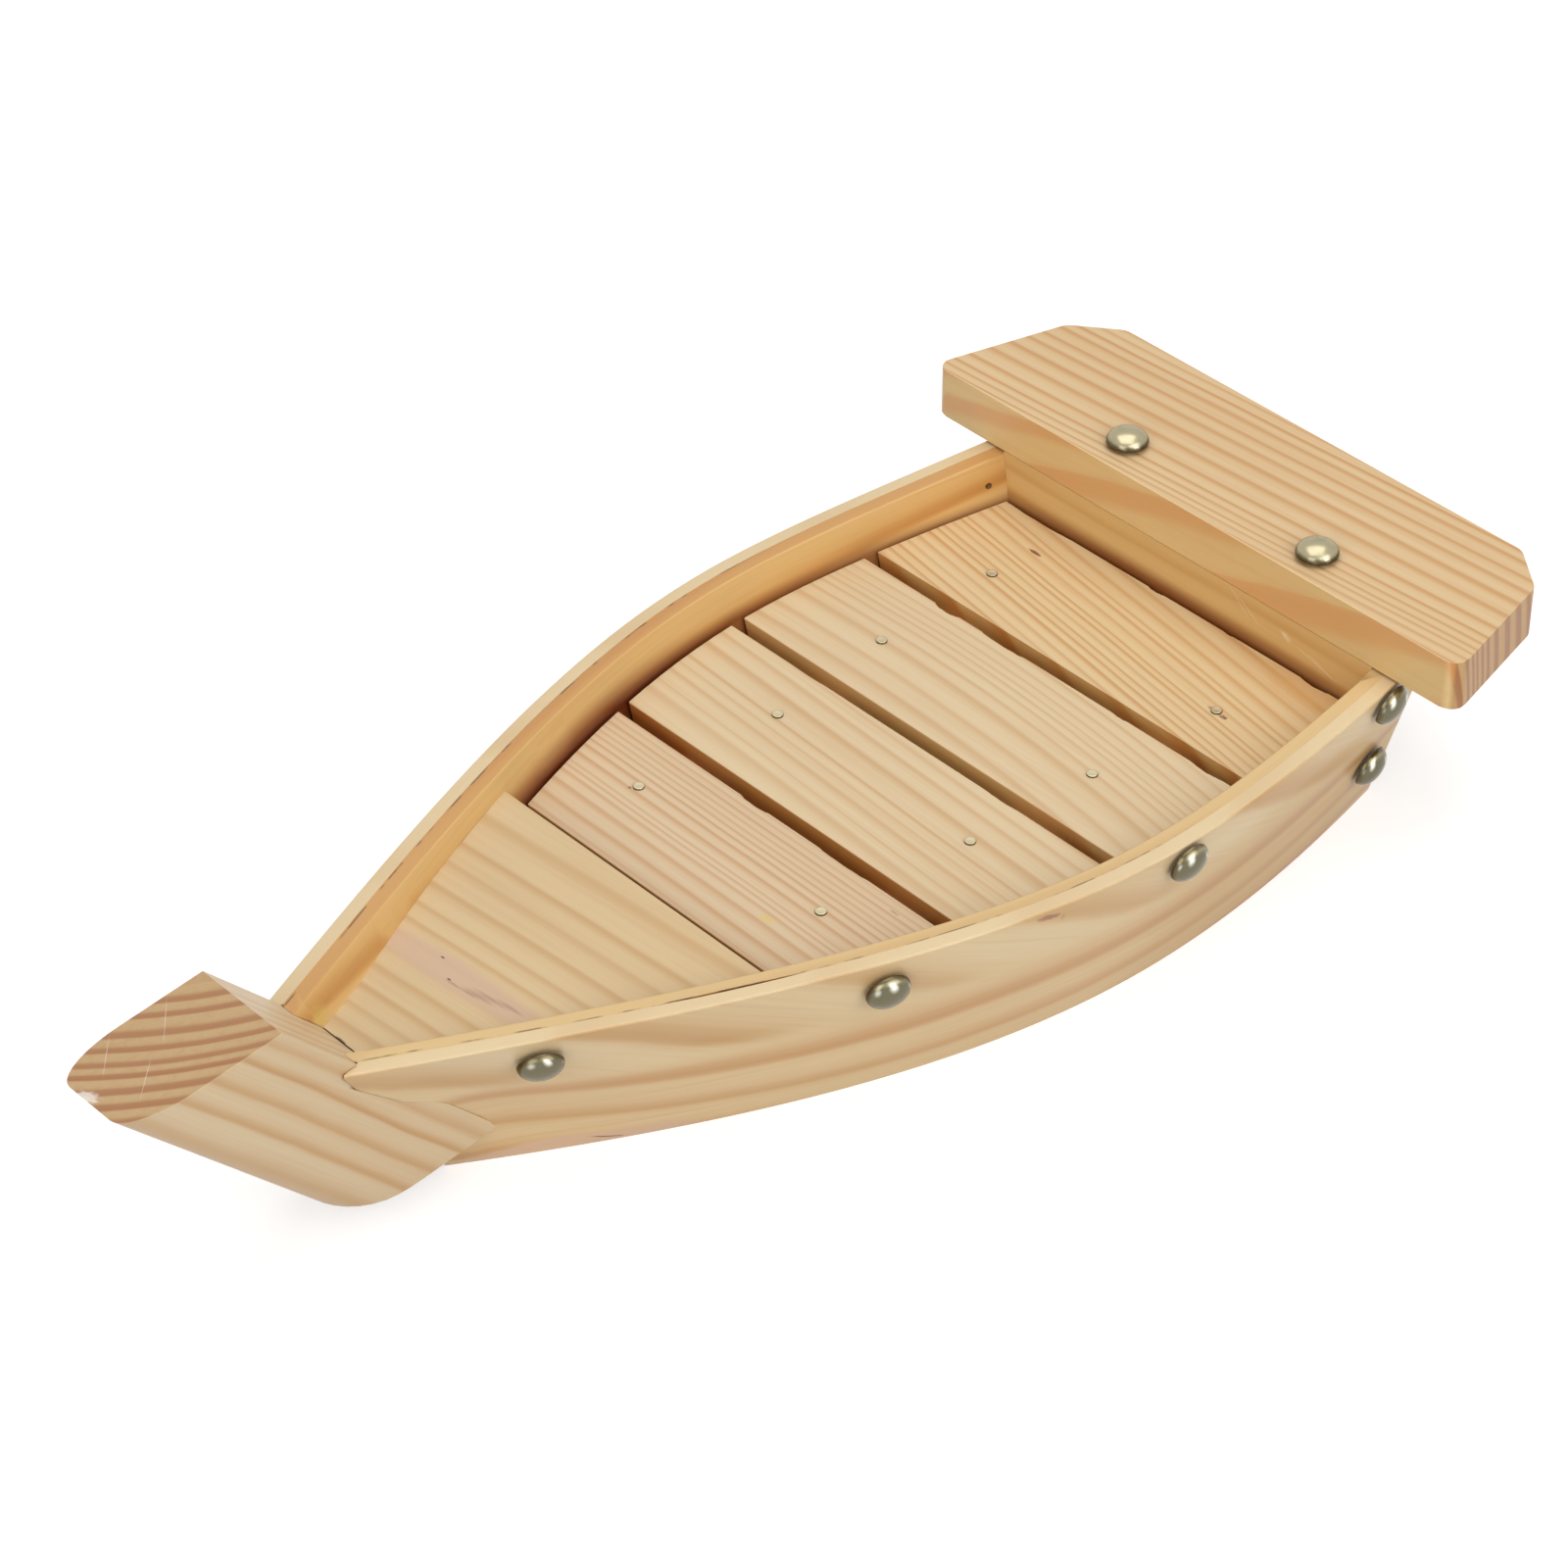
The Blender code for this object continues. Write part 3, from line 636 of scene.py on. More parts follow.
def close_joints(piece, node, stays_open=None):
    """Bring the faces that meet a fixed neighbour up to it, so that the joint shows as a fine line."""
    fixed = [tree for name, tree in trees.items() if name != node and not name.startswith(LOOSE)]

    def meets(face):
        if stays_open is not None and stays_open(face):
            return False
        for tree in fixed:
            _, normal, _, gap = tree.find_nearest(face.calc_center_median(), CONTACT)
            if gap is not None and normal.dot(face.normal) < OPPOSED:
                return True
        return False

    if choose(piece, meets, "FACE"):
        bpy.ops.transform.shrink_fatten(value=JOINT_CLOSE)
    if stays_open is not None and choose(piece, stays_open, "FACE"):
        bpy.ops.transform.shrink_fatten(value=-JOINT_OPEN)


print("pieces to search:", len(trees))

# %% [markdown]
# ## Chips, and handing a board over
#
# A chip is bitten out of the wood by a rough ball, with a Boolean modifier. A finished board is
# shaded smooth over its rounded edges and flat on its faces. Then the frame is told which body it
# rides on and which CAD piece it replaces.

# %% Chip and finish
SCOOP_ROUGH = 0.2 * MM


def chip(piece, scoops):
    """Break small rough scoops out of a board. Each is a centre and a reach in millimetres."""
    bpy.ops.object.mode_set(mode="OBJECT")
    for index, (centre, reach) in enumerate(scoops, 1):
        bpy.ops.object.select_all(action="DESELECT")
        bpy.ops.mesh.primitive_ico_sphere_add(subdivisions=3, radius=MM, location=Vector(centre) * MM)
        scoop = bpy.context.object
        scoop.scale = reach
        bpy.ops.object.transform_apply(location=True, scale=True)
        bpy.ops.object.mode_set(mode="EDIT")
        bpy.ops.transform.vertex_random(offset=SCOOP_ROUGH, seed=index)
        bpy.ops.object.mode_set(mode="OBJECT")
        cut = piece.modifiers.new("scoop", "BOOLEAN")
        cut.operation = "DIFFERENCE"
        cut.object = scoop
        only(piece)
        bpy.ops.object.modifier_apply(modifier=cut.name)
        bpy.data.objects.remove(scoop)


def finish_board(piece, node, body, material):
    """Leave edit mode, smooth the shading, and hand the piece to the frame."""
    bpy.ops.object.mode_set(mode="OBJECT")
    only(piece)
    # Closing a joint can push a point a hair below the floor
    for vertex in piece.data.vertices:
        vertex.co.z = max(vertex.co.z, 0.0)
    bpy.ops.object.shade_smooth_by_angle(angle=SHARP)
    flat = piece.modifiers.new("flat_faces", "WEIGHTED_NORMAL")
    flat.keep_sharp = True
    bpy.ops.object.modifier_apply(modifier=flat.name)
    piece.data.materials.append(material)
    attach(piece, body)
    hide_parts(node)
    print(piece.name, "has", len(piece.data.polygons), "faces")


print("scoops are rough by", SCOOP_ROUGH / MM, "mm")

# %% [markdown]
# ## The stem block
#
# The stem is one thick block that leans forward over the water line. It was sawn with the grain
# along its lean, so its sides show long bands and its top shows the rings end on. The pith lay
# behind it on the starboard side, which curves the rings across the end. The top is scored by the
# saw, and the varnish has chipped white at the nose.

# %% Stem block
STEM_LEAN = math.radians(46.8)
STEM_TOP = (-155.8, 0.0, 74.5)
STEM_LINES = (-8.0, -3.0, 1.1, 6.5, 10.5, 14.4, 17.5, 21.9, 26.0, 30.1, 34.2, 38.3, 42.4)
PITH_ACROSS = 88.6
PITH_BEHIND = 69.1
CHIP_WHITE = colour(240, 232, 220)
CRACK = colour(84, 54, 34)
STEM_EDGE = 0.5 * MM
# Each saw score is its middle, its length and its turn on the top face
SAW_SCORES = (
    ((-171.0, 8.4, 72.7), 11.0, 50.0),
    ((-185.0, -3.0, 71.1), 13.0, 42.0),
    ((-187.0, 9.0, 70.9), 9.0, 47.0),
)
stem_grain = Vector((-math.cos(STEM_LEAN), 0.0, math.sin(STEM_LEAN)))
stem_rearward = Vector((math.sin(STEM_LEAN), 0.0, math.cos(STEM_LEAN)))
stem_outward = -Vector((0.0, PITH_ACROSS, 0.0)) - stem_rearward * PITH_BEHIND
stem_pine = pine_material(
    "stem_pine", STEM_TOP, stem_grain, stem_outward, STEM_LINES, "stem",
    pith=stem_outward.length, wander=1.6, seed=0.35, contrast=1.15)
for centre, length, turn in SAW_SCORES:
    mark(stem_pine, CHIP_WHITE, 0.32, centre, (length, 0.16, 0.9), (0, 0, turn), 1.2, 0.6)
mark(stem_pine, CHIP_WHITE, 0.7, (-197.9, 2.2, 69.6), (2.4, 4.2, 2.0), (0, 0, 40), 1.4, 0.6)
mark(stem_pine, CHIP_WHITE, 0.5, (-198.0, -1.2, 68.6), (1.0, 2.6, 0.7), (0, 0, 10), 1.2, 0.5)
mark(stem_pine, CRACK, 0.8, (-126.9, -1.6, 43.6), (0.5, 3.0, 1.0), (0, 0, 20), 0.8, 0.5)

stem = copy_of("stem_block")
rounded = round_edges(stem, "stem_block", STEM_EDGE)
close_joints(stem, "stem_block")
finish_board(stem, "stem_block", "hull", stem_pine)
print("stem edges rounded:", rounded)

# %% [markdown]
# ## The bent planks
#
# Each side is two thin plies glued together and bent to the hull's curve. The grain was straight
# before the bend, so it has to follow the plank. Object coordinates would run straight through.
# Instead each point stores its place on the unbent plank: how far along, how deep, how high.

# %% Plank space
SIDES = {"port": -1, "starboard": 1}
OUT_FACING = 0.3
STEEP = 0.6
CURVE_ORDER = 6


def outer_face(side):
    """The outward faces of the outer ply, as a search tree, and the arc length along it."""
    mesh = nodes[side + "_outer_plank"].data
    sign = SIDES[side]
    faces = [p.vertices for p in mesh.polygons if p.normal.y * sign > OUT_FACING and abs(p.normal.z) < STEEP]
    tree = BVHTree.FromPolygons([v.co for v in mesh.vertices], faces)
    line = np.array(sorted({(round(v.co.x, 5), round(abs(v.co.y), 5)) for v in mesh.vertices}))
    reach = np.unique(line[:, 0])
    half = np.array([line[line[:, 0] == x, 1].max() for x in reach])
    smooth = np.polyval(np.polyfit(reach, half, CURVE_ORDER), reach)
    steps = np.hypot(np.diff(reach), np.diff(smooth))
    return tree, reach, np.concatenate([[0.0], np.cumsum(steps)])


plank_space = {side: outer_face(side) for side in SIDES}


def store_plank_space(piece, side):
    """Give each point its place on the unbent plank."""
    tree, reach, length = plank_space[side]
    spots = [tree.find_nearest(vertex.co) for vertex in piece.data.vertices]
    values = [(np.interp(spot.x, reach, length), depth, spot.z) for spot, _, _, depth in spots]
    attribute = piece.data.attributes.new("along_plank", "FLOAT_VECTOR", "POINT")
    attribute.data.foreach_set("vector", np.array(values, np.float32).ravel())


for side, (_, _, length) in plank_space.items():
    print(side, "plank is", round(length[-1] / MM), "mm long")

# %% [markdown]
# ## The wood of the planks
#
# The outer ply was sawn near the outside of the tree. Low on the side it crosses the rings squarely,
# and long lines follow the plank. Higher up it runs almost along a ring, which opens into slanting
# flames. Two sets of rings are worked out, and the height on the plank blends them.

# %% Plank materials
MIDSHIP = 156.0
LOWER_LINES = (-52.0, -33.0, -17.0, -5.3, 5.0)
FLAME_LINES = (-104.0, -80.0, -54.9, -27.9, 1.0, 23.3, 47.3, 70.0, 92.0)
INNER_LINES = (-66.0, -54.0, -43.0, -31.0, -19.0, -7.0, 6.0)
FLAME_SLANT = 2.2
GLUE_DEPTH = 4.15 * MM
GLUE_LINE = (0.1 * MM, 0.32 * MM)
DASH_GRAIN = (110.0, 0.0, 0.0)
# Where along the plank the dashes of the glue line fade out, and how high up the flames come in
DASHES_FADE = (195 * MM, 235 * MM)
FLAMES_FROM = (25 * MM, 33 * MM)
FLAMES_FULL = (27 * MM, 36 * MM)
TOP_FACING = (0.75, 0.95)
TOP_ORANGE = colour(203, 146, 84)
TOP_CREAM = colour(226, 202, 160)
TOP_GOLD = colour(220, 190, 138)


def plank_pine(name, seed, top, inner=False):
    """Varnished pine that follows a bent plank, with a colour of its own on the top edge."""
    material, tree = new_material(name)
    place = tree.nodes.new("ShaderNodeAttribute")
    place.attribute_name = "along_plank"
    point = place.outputs["Vector"]
    axes = tree.nodes.new("ShaderNodeSeparateXYZ")
    feed(tree, axes.inputs[0], point)
    along, depth, height = axes.outputs
    lines, palette = (INNER_LINES, "golden") if inner else (LOWER_LINES, "amber")
    wood = sawn_rings(
        tree, point, (MIDSHIP + 15.0, 0.0, 0.0), (1.0, 0.0, 0.0), (0.0, 0.25, -1.0), lines, palette,
        sweep=0.00035, wander=2.0, seed=seed, contrast=1.5)
    tint, relief = wood.outputs["Colour"], wood.outputs["Height"]
    if not inner:
        upper = sawn_rings(
            tree, point, (MIDSHIP, 0.0, 53.0), (FLAME_SLANT, 0.0, -1.0), (-1.0, 0.1, -FLAME_SLANT),
            FLAME_LINES, "side", wander=7.0, seed=seed + 0.5,
            contrast=ease(tree, height, *FLAMES_FULL, 0.0, 1.2))
        tint = blend(tree, ease(tree, height, *FLAMES_FROM), tint, upper.outputs["Colour"])
    dashes = ease(tree, noise(tree, point, DASH_GRAIN, seed, 3.0), 0.46, 0.58)
    dashes = sums(tree, "MULTIPLY", dashes, ease(tree, along, *DASHES_FADE, 1.0, 0.1))
    from_glue = sums(tree, "ABSOLUTE", sums(tree, "SUBTRACT", depth, GLUE_DEPTH))
    glued = sums(tree, "MULTIPLY", ease(tree, from_glue, *GLUE_LINE, 0.7, 0.0), dashes)
    facing = tree.nodes.new("ShaderNodeTexCoord").outputs["Normal"]
    level = vectors(tree, "DOT_PRODUCT", facing, (0.0, 0.0, 1.0))
    tint = blend(tree, ease(tree, level, *TOP_FACING, 0.0, 0.7), tint, top)
    varnish(material, blend(tree, glued, tint, CRACK), relief)
    return material


PLANK_PINE = {
    "port_outer_plank": plank_pine("port_outer_pine", 0.2, TOP_CREAM),
    "port_inner_plank": plank_pine("port_inner_pine", 3.1, TOP_GOLD, inner=True),
    "starboard_outer_plank": plank_pine("starboard_outer_pine", 5.7, TOP_CREAM),
    "starboard_inner_plank": plank_pine("starboard_inner_pine", 7.4, TOP_ORANGE, inner=True),
}
print("plank materials:", len(PLANK_PINE))

# %% [markdown]
# ## Marks on the planks
#
# The port side has a rough pink stretch low at the bow, a small crack in it, two red marks, and a
# faint painted shade low towards the stern. The inner walls darken towards the deck, where little
# light gets in. The lamps alone could make that shade, but they leave it too pale, so part of it is
# painted on.

# %% Plank marks
ROUGH_PINK = colour(214, 180, 150)
RED_MARK = colour(160, 104, 76)
YELLOW_STAIN = colour(206, 178, 88)
# A faint painted shade low on the port side, towards the stern
LOW_SHADE = colour(240, 232, 214)
# Painted shade for the foot of the inner walls and of the transom
PAINTED_CORNER_SHADE = colour(160, 106, 62)
# Each stretch of painted shade at the foot of the inner walls is a share, a centre, a reach and a softness
INNER_SHADE = (
    (0.85, (60.0, 0.0, 34.5), (260.0, 300.0, 7.5), 0.5),
    (0.9, (-6.0, 0.0, 37.5), (78.0, 300.0, 8.8), 0.7),
)
SCREW_PLACE = (141.6, 65.2, 43.7)
port_pine = PLANK_PINE["port_outer_plank"]
wall_pine = PLANK_PINE["starboard_inner_plank"]
# Painted shade low on the port side
mark(port_pine, LOW_SHADE, 1.0, (112.0, -66.0, 16.0), (75.0, 40.0, 30.0), ragged=0.2, way="MULTIPLY")
mark(port_pine, ROUGH_PINK, 0.9, (-80.0, -23.5, -0.4), (36.0, 20.0, 5.2), (0, 0, -27), 0.5, 0.35)
mark(port_pine, CRACK, 0.75, (-72.9, -26.2, 1.5), (5.2, 0.9, 0.3), (0, 10, -27), 0.9, 0.5)
mark(port_pine, RED_MARK, 0.9, (22.4, -77.2, 46.4), (5.0, 2.0, 1.3), (0, 12, 0), 1.0, 0.5)
mark(port_pine, RED_MARK, 0.5, (27.4, -77.8, 43.8), (0.8, 2.0, 1.8), ragged=1.2)
mark(port_pine, CRACK, 0.6, (-36.0, -56.9, 36.5), (0.5, 0.5, 0.5), ragged=0.8, soft=0.5)
# Painted shade at the foot of both inner walls
for node in ("port_inner_plank", "starboard_inner_plank"):
    for share, centre, reach, soft in INNER_SHADE:
        mark(PLANK_PINE[node], PAINTED_CORNER_SHADE, share, centre, reach, ragged=0.06, soft=soft, way="MULTIPLY")
mark(wall_pine, CRACK, 0.9, SCREW_PLACE, (1.3, 2.4, 1.0), ragged=0.3, soft=0.4)
mark(wall_pine, YELLOW_STAIN, 0.6, (-129.0, 12.0, 47.0), (5.0, 4.0, 5.0))
print("nodes in the port plank's material:", len(port_pine.node_tree.nodes))

# %% [markdown]
# ## The glue line
#
# The two plies are glued along their whole length. The CAD leaves a hair of room between them, which
# would show as one even dark line, so the copies close it. One short stretch gapes, where
# the glue let go on the port bow.

# %% Planks
GLUE_OPEN = (-62.0, -43.0)
GLUE_NEAR = 0.3 * MM
LEVEL = 0.7
SCREW_HOLE = (SCREW_PLACE, (1.0, 1.3, 0.8))
PLANK_EDGES = {"outer": 0.9 * MM, "inner": 0.5 * MM}


def plank_depth(spot):
    """How deep a point of the port side lies under the outer face."""
    return plank_space["port"][0].find_nearest(spot)[3]


def glue_open(face):
    """True on the glued faces where the plies have come apart, at the port bow."""
    spot = face.calc_center_median() / MM
    glued = abs(plank_depth(spot * MM) - GLUE_DEPTH) < GLUE_NEAR
    return glued and spot.y < 0 and GLUE_OPEN[0] < spot.x < GLUE_OPEN[1]


def top_arris(edge):
    """True for the edges along the top of a plank, the only ones that are rounded."""
    normals = [face.normal for face in edge.link_faces]
    return any(n.z > LEVEL for n in normals) and any(abs(n.z) < STEEP for n in normals)


for side in SIDES:
    for ply, width in PLANK_EDGES.items():
        node = f"{side}_{ply}_plank"
        plank = copy_of(node, flat=False)
        round_edges(plank, node, width, top_arris)
        close_joints(plank, node, glue_open)
        bpy.ops.object.mode_set(mode="OBJECT")
        if node == "starboard_inner_plank":
            chip(plank, (SCREW_HOLE,))
        store_plank_space(plank, side)
        finish_board(plank, node, "hull", PLANK_PINE[node])

# %% [markdown]
# ## The wood of the foredeck
#
# The foredeck is one board behind the stem, sawn with the grain across the boat. A brownish stain
# with dark streaks in it runs across its forward half. One blurred patch would look like a smudge,
# so the streaks are laid over the patch one by one.

# %% Foredeck wood
FOREDECK_TOP = 45.5
FOREDECK_LINES = (
    -12.0, -6.0, 0.5, 7.5, 13.0, 19.4, 26.5, 33.0, 38.0, 43.0, 48.5, 56.0, 64.0, 71.0, 82.5, 95.0)
STAIN = colour(207, 174, 146)
STAIN_STREAK = colour(156, 116, 98)
# Each dark streak in the stain is its place on the deck, its length and its width
STAIN_STREAKS = (
    (-94.6, -7.0, 7.0, 1.0), (-93.2, -9.5, 8.0, 0.9), (-95.6, -4.5, 4.5, 0.7),
    (-91.9, -15.0, 6.5, 0.9), (-96.2, 0.5, 4.0, 0.6))
STAIN_CRACKS = ((-95.8, 2.4), (-91.8, 9.6))
foredeck_pine = pine_material(
    "foredeck_pine", (-130.0, 0.0, FOREDECK_TOP), (-0.075, 1.0, 0.0), (1.0, 0.0, 0.25),
    FOREDECK_LINES, "deck", wander=1.6, seed=1.7, contrast=0.9)
mark(foredeck_pine, STAIN, 0.8, (-93.9, 1.0, FOREDECK_TOP), (6.2, 44.0, 6.0), (0, 0, 4), 0.4, 0.5)
for spot_x, spot_y, length, width in STAIN_STREAKS:
    centre = (spot_x, spot_y, FOREDECK_TOP)
    mark(foredeck_pine, STAIN_STREAK, 0.55, centre, (width, length, 3.0), (0, 0, 4), 0.3, 0.9)
for spot_x, spot_y in STAIN_CRACKS:
    mark(foredeck_pine, CRACK, 0.9, (spot_x, spot_y, FOREDECK_TOP), (0.35, 0.8, 1.0), ragged=0.6, soft=0.5)
mark(foredeck_pine, CRACK, 0.9, (-128.0, 2.6, FOREDECK_TOP), (0.5, 2.4, 1.0), ragged=0.9, soft=0.5)
print("streaks in the stain:", len(STAIN_STREAKS))

# %% [markdown]
# ## The wood of the stern and the bottom
#
# The transom and the stern board have their grain across the boat too, and the bottom along it. They
# differ in how the saw met the rings. On the stern board the rings stand nearly upright and run a
# little askew, which draws straight lines on its top and three broad flames on its front.

# %% Stern and bottom wood
STERN_FRONT = 148.0
STERN_LINES = (
    -14.0, -9.0, -5.0, -1.1, 2.15, 4.7, 6.8, 9.65, 12.65, 17.4,
    23.65, 29.65, 34.9, 39.3, 44.3, 47.65, 51.2, 54.5, 60.0)
# The photograph shows the stern board's front lighter than the lamps make it
STERN_LIGHT = colour(244, 214, 158)
SCRATCH = colour(232, 208, 168)
# Each scratch on the transom is its place across and up, and its turn
SCRATCHES = ((-20.0, 48.6, 38.0), (-24.0, 47.4, 30.0), (-46.0, 44.0, 14.0), (-50.0, 43.4, 18.0))
bottom_pine = pine_material(
    "bottom_pine", (0.0, 0.0, 8.0), (1.0, 0.02, 0.0), (0.0, 1.0, 0.2), 5.5, "golden",
    wander=4.0, seed=2.3, contrast=0.9)
transom_pine = pine_material(
    "transom_pine", (143.0, 0.0, 51.5), (0.02, 1.0, 0.01), (0.5, 0.0, -1.0), 6.5, "golden", flames=0.1,
    wander=3.0, seed=4.2, contrast=0.6)
# Painted shade at the foot of the transom, down by the slats
mark(transom_pine, PAINTED_CORNER_SHADE, 0.95, (146.0, 0.0, 34.5), (9.0, 140.0, 9.4), ragged=0.1, way="MULTIPLY")
mark(transom_pine, SCRATCH, 0.75, (147.4, -37.4, 46.1), (3.0, 2.6, 1.0), (20, 0, 0), 2.2, 0.7)
for across, up, turn in SCRATCHES:
    mark(transom_pine, SCRATCH, 0.6, (146.8, across, up), (3.0, 7.0, 0.22), (turn, 0, 0), 0.8, 0.5)
stern_pine = pine_material(
    "stern_pine", (146.0, 0.0, 66.1), (-0.05, 1.0, 0.0), (1.0, 0.05, 0.23), STERN_LINES, "orange", flames=1.0,
    wander=1.2, seed=6.6, contrast=1.2)
mark(stern_pine, STERN_LIGHT, 0.3, (STERN_FRONT, 0.0, 57.0), (0.8, 300.0, 14.0), ragged=0.05, soft=0.2)
print("scratches on the transom:", len(SCRATCHES))

# %% [markdown]
# ## Boards of the hull
#
# The foredeck, bottom, transom and stern board are plain boards, so one loop finishes them all. Only
# the wood, its slot and the width of the rounded edge differ: the stern board was sanded most.

# %% Cross boards
# Each board has its wood, its slot and the width of its rounded edges
CROSS_BOARDS = (
    ("foredeck", foredeck_pine, "deck_pine", 0.4 * MM),
    ("bottom_board", bottom_pine, "side_pine", 0.5 * MM),
    ("transom", transom_pine, "stern_pine", 0.5 * MM),
    ("stern_board", stern_pine, "stern_pine", 0.6 * MM),
)
for node, material, slot, width in CROSS_BOARDS:
    cross_board = copy_of(node)
    round_edges(cross_board, node, width)
    close_joints(cross_board, node)
    finish_board(cross_board, node, "hull", material)

# %% [markdown]
# ## The wood of the slats
#
# Four slats are nailed to two runners and lift out as one. Each slat came from a different board.
# One wood could be turned and shifted for all four, but their rings differ too much for that, so
# each has lines and a palette of its own.

# %% Slat wood
# Each slat has its palette, the slope and sweep of its grain, the middle of the sweep, its contrast,
# a seed, and its autumn lines back from the front edge
SLATS = (
    ("pink", 0.004, 0.0, 0.0, 1.0, 8.1, (
        -3.0, 2.0, 6.8, 12.0, 15.5, 17.3, 19.0, 22.6, 26.0, 28.3, 30.4, 32.3, 34.3, 36.4, 38.5, 40.5, 44.0)),
    ("plain", 0.048, 0.0, 0.0, 0.85, 9.3, (
        -9.0, -2.0, 6.4, 9.5, 14.5, 17.9, 21.4, 28.9, 34.5, 39.0, 44.0, 49.0)),
    ("plain", 0.0, 0.0008, 35.0, 0.75, 10.6, (
        -8.0, -1.0, 6.6, 12.8, 20.4, 24.4, 28.0, 30.4, 32.5, 35.0, 38.0, 41.5, 46.0, 52.0)),
    ("amber", 0.155, 0.0, 0.0, 1.1, 11.2, (
        -14.0, -9.0, -6.0, -3.0, 0.0, 3.4, 6.9, 9.4, 11.6, 14.4, 16.9, 18.8, 22.9, 26.3, 28.4, 33.0, 38.0,
        44.0, 52.0)),
)
SLAT_STARTS = (-33.9, 12.0, 57.9, 103.85)
SLAT_TOP = 38.5
RESIN = colour(122, 62, 34)
GUM = colour(222, 190, 92)
GREY_NICK = colour(150, 122, 100)
WARM_CORNER = colour(214, 166, 104)
# Painted shade on each slat's front face, down in its gap: slat 2 is darkest
PAINTED_GAP_SHADES = (colour(246, 217, 176), colour(222, 170, 114), colour(250, 222, 180), colour(250, 222, 180))
GAP_SHADE_MIDDLE = 34.5
GAP_SHADE_REACH = (0.7, 300.0, 4.2)
slat_pines = []
for index, (palette, slope, sweep, vertex, contrast, seed, lines) in enumerate(SLATS):
    start = SLAT_STARTS[index]
    slat_pine = pine_material(
        f"slat_{index + 1}_pine", (start, vertex, SLAT_TOP), (slope, 1.0, 0.0), (1.0, 0.0, 0.2),
        lines, palette, flames=0.2, sweep=sweep, wander=1.3, seed=seed, contrast=contrast)
    # Painted shade down the slat's front face, in its gap
    mark(
        slat_pine, PAINTED_GAP_SHADES[index], 1.0, (start, 0.0, GAP_SHADE_MIDDLE), GAP_SHADE_REACH,
        ragged=0.05, soft=0.15, way="MULTIPLY")
    slat_pines.append(slat_pine)
first_pine, last_pine = slat_pines[0], slat_pines[-1]
mark(first_pine, GUM, 0.55, (-20.5, -25.0, SLAT_TOP), (1.6, 3.0, 2.0), ragged=1.4, soft=0.7)
mark(first_pine, GREY_NICK, 0.6, (3.7, -44.0, SLAT_TOP), (0.4, 2.0, 1.0), ragged=0.8)
mark(first_pine, RESIN, 0.7, (-11.0, 35.8, SLAT_TOP), (0.6, 0.6, 0.8), ragged=0.8, soft=0.5)
mark(last_pine, WARM_CORNER, 0.6, (143.0, -50.0, SLAT_TOP), (9.0, 24.0, 4.0), (0, 0, -9), 0.5, 0.7)
mark(last_pine, RESIN, 0.9, (134.3, 39.8, SLAT_TOP), (0.75, 2.9, 1.0), (0, 0, -3), 0.5, 0.5)
mark(last_pine, RESIN, 0.8, (118.6, -43.3, SLAT_TOP), (0.8, 1.5, 1.5), ragged=0.8, soft=0.4)
mark(last_pine, RESIN, 0.6, (119.2, -38.6, SLAT_TOP), (0.5, 1.2, 1.5), ragged=0.8, soft=0.4)
print("slat materials:", len(slat_pines))

# %% [markdown]
# ## The slats
#
# The saw tore the slats' rear edges, which shows as small scoops. A bump map could fake those, but
# they break the outline of the edge, so they are cut out of the mesh with rough balls.

# %% Slats
SLAT_EDGE = 0.35 * MM
# Each torn scoop is a centre and a reach
TORN = {
    "slat_1": (((7.5, 10.0, 38.4), (0.7, 5.0, 1.8)), ((7.6, -22.0, 38.4), (0.6, 9.0, 1.6))),
    "slat_2": (((53.6, -30.0, 38.6), (0.6, 6.0, 1.4)), ((53.7, 40.0, 38.6), (0.6, 7.0, 1.3))),
    "slat_3": (
        ((99.5, 36.8, 37.8), (1.3, 4.6, 4.2)), ((99.6, 16.0, 38.0), (1.0, 8.6, 3.6)),
        ((99.7, -26.0, 38.2), (0.8, 3.0, 2.4)), ((99.6, -56.0, 38.2), (0.9, 6.0, 2.6))),
    "slat_4": (
        ((145.7, 48.0, 38.2), (0.8, 12.0, 2.0)), ((145.7, 6.0, 38.2), (0.8, 3.0, 2.4)),
        ((145.8, -20.0, 38.3), (0.7, 2.0, 2.2)), ((145.6, -50.0, 38.2), (0.9, 5.0, 2.6)),
        ((118.6, -43.3, 38.9), (0.8, 1.6, 0.9)), ((119.2, -38.6, 38.9), (0.6, 1.3, 0.8))),
}
for index, material in enumerate(slat_pines, 1):
    node = f"slat_{index}"
    slat = copy_of(node)
    round_edges(slat, node, SLAT_EDGE)
    chip(slat, TORN[node])
    finish_board(slat, node, "slat_deck", material)

# %% [markdown]
# ## The runners
#
# Two battens under the slats carry them, and the nails go into these. They are hardly seen, so they
# share one wood with even rings.

# %% Runners
RUNNER_EDGE = 0.4 * MM
runner_pine = pine_material(
    "runner_pine", (60.0, 0.0, 30.0), (1.0, 0.0, 0.0), (0.0, 0.3, 1.0), 4.5, wander=3.0, seed=12.4)
for side in SIDES:
    node = side + "_runner"
    runner = copy_of(node)
    round_edges(runner, node, RUNNER_EDGE)
    finish_board(runner, node, "slat_deck", runner_pine)

# %% [markdown]
# ## Brass nails
#
# The dome nails are stamped from thin brass and have dulled to a champagne colour. Each mirrors the
# studio as dark sides and a few bright spots. The lamps alone could draw those, but the white floor
# and world wash them out, so part of that light and shade is painted into the metal: the crown that
# faces up is painted bright and the flanks dark, a painted line of shade darkens the rim, and a mask
# worked out from the way the surface faces puts the same painted highlights on every dome. The slat
# nails use the recipe too.

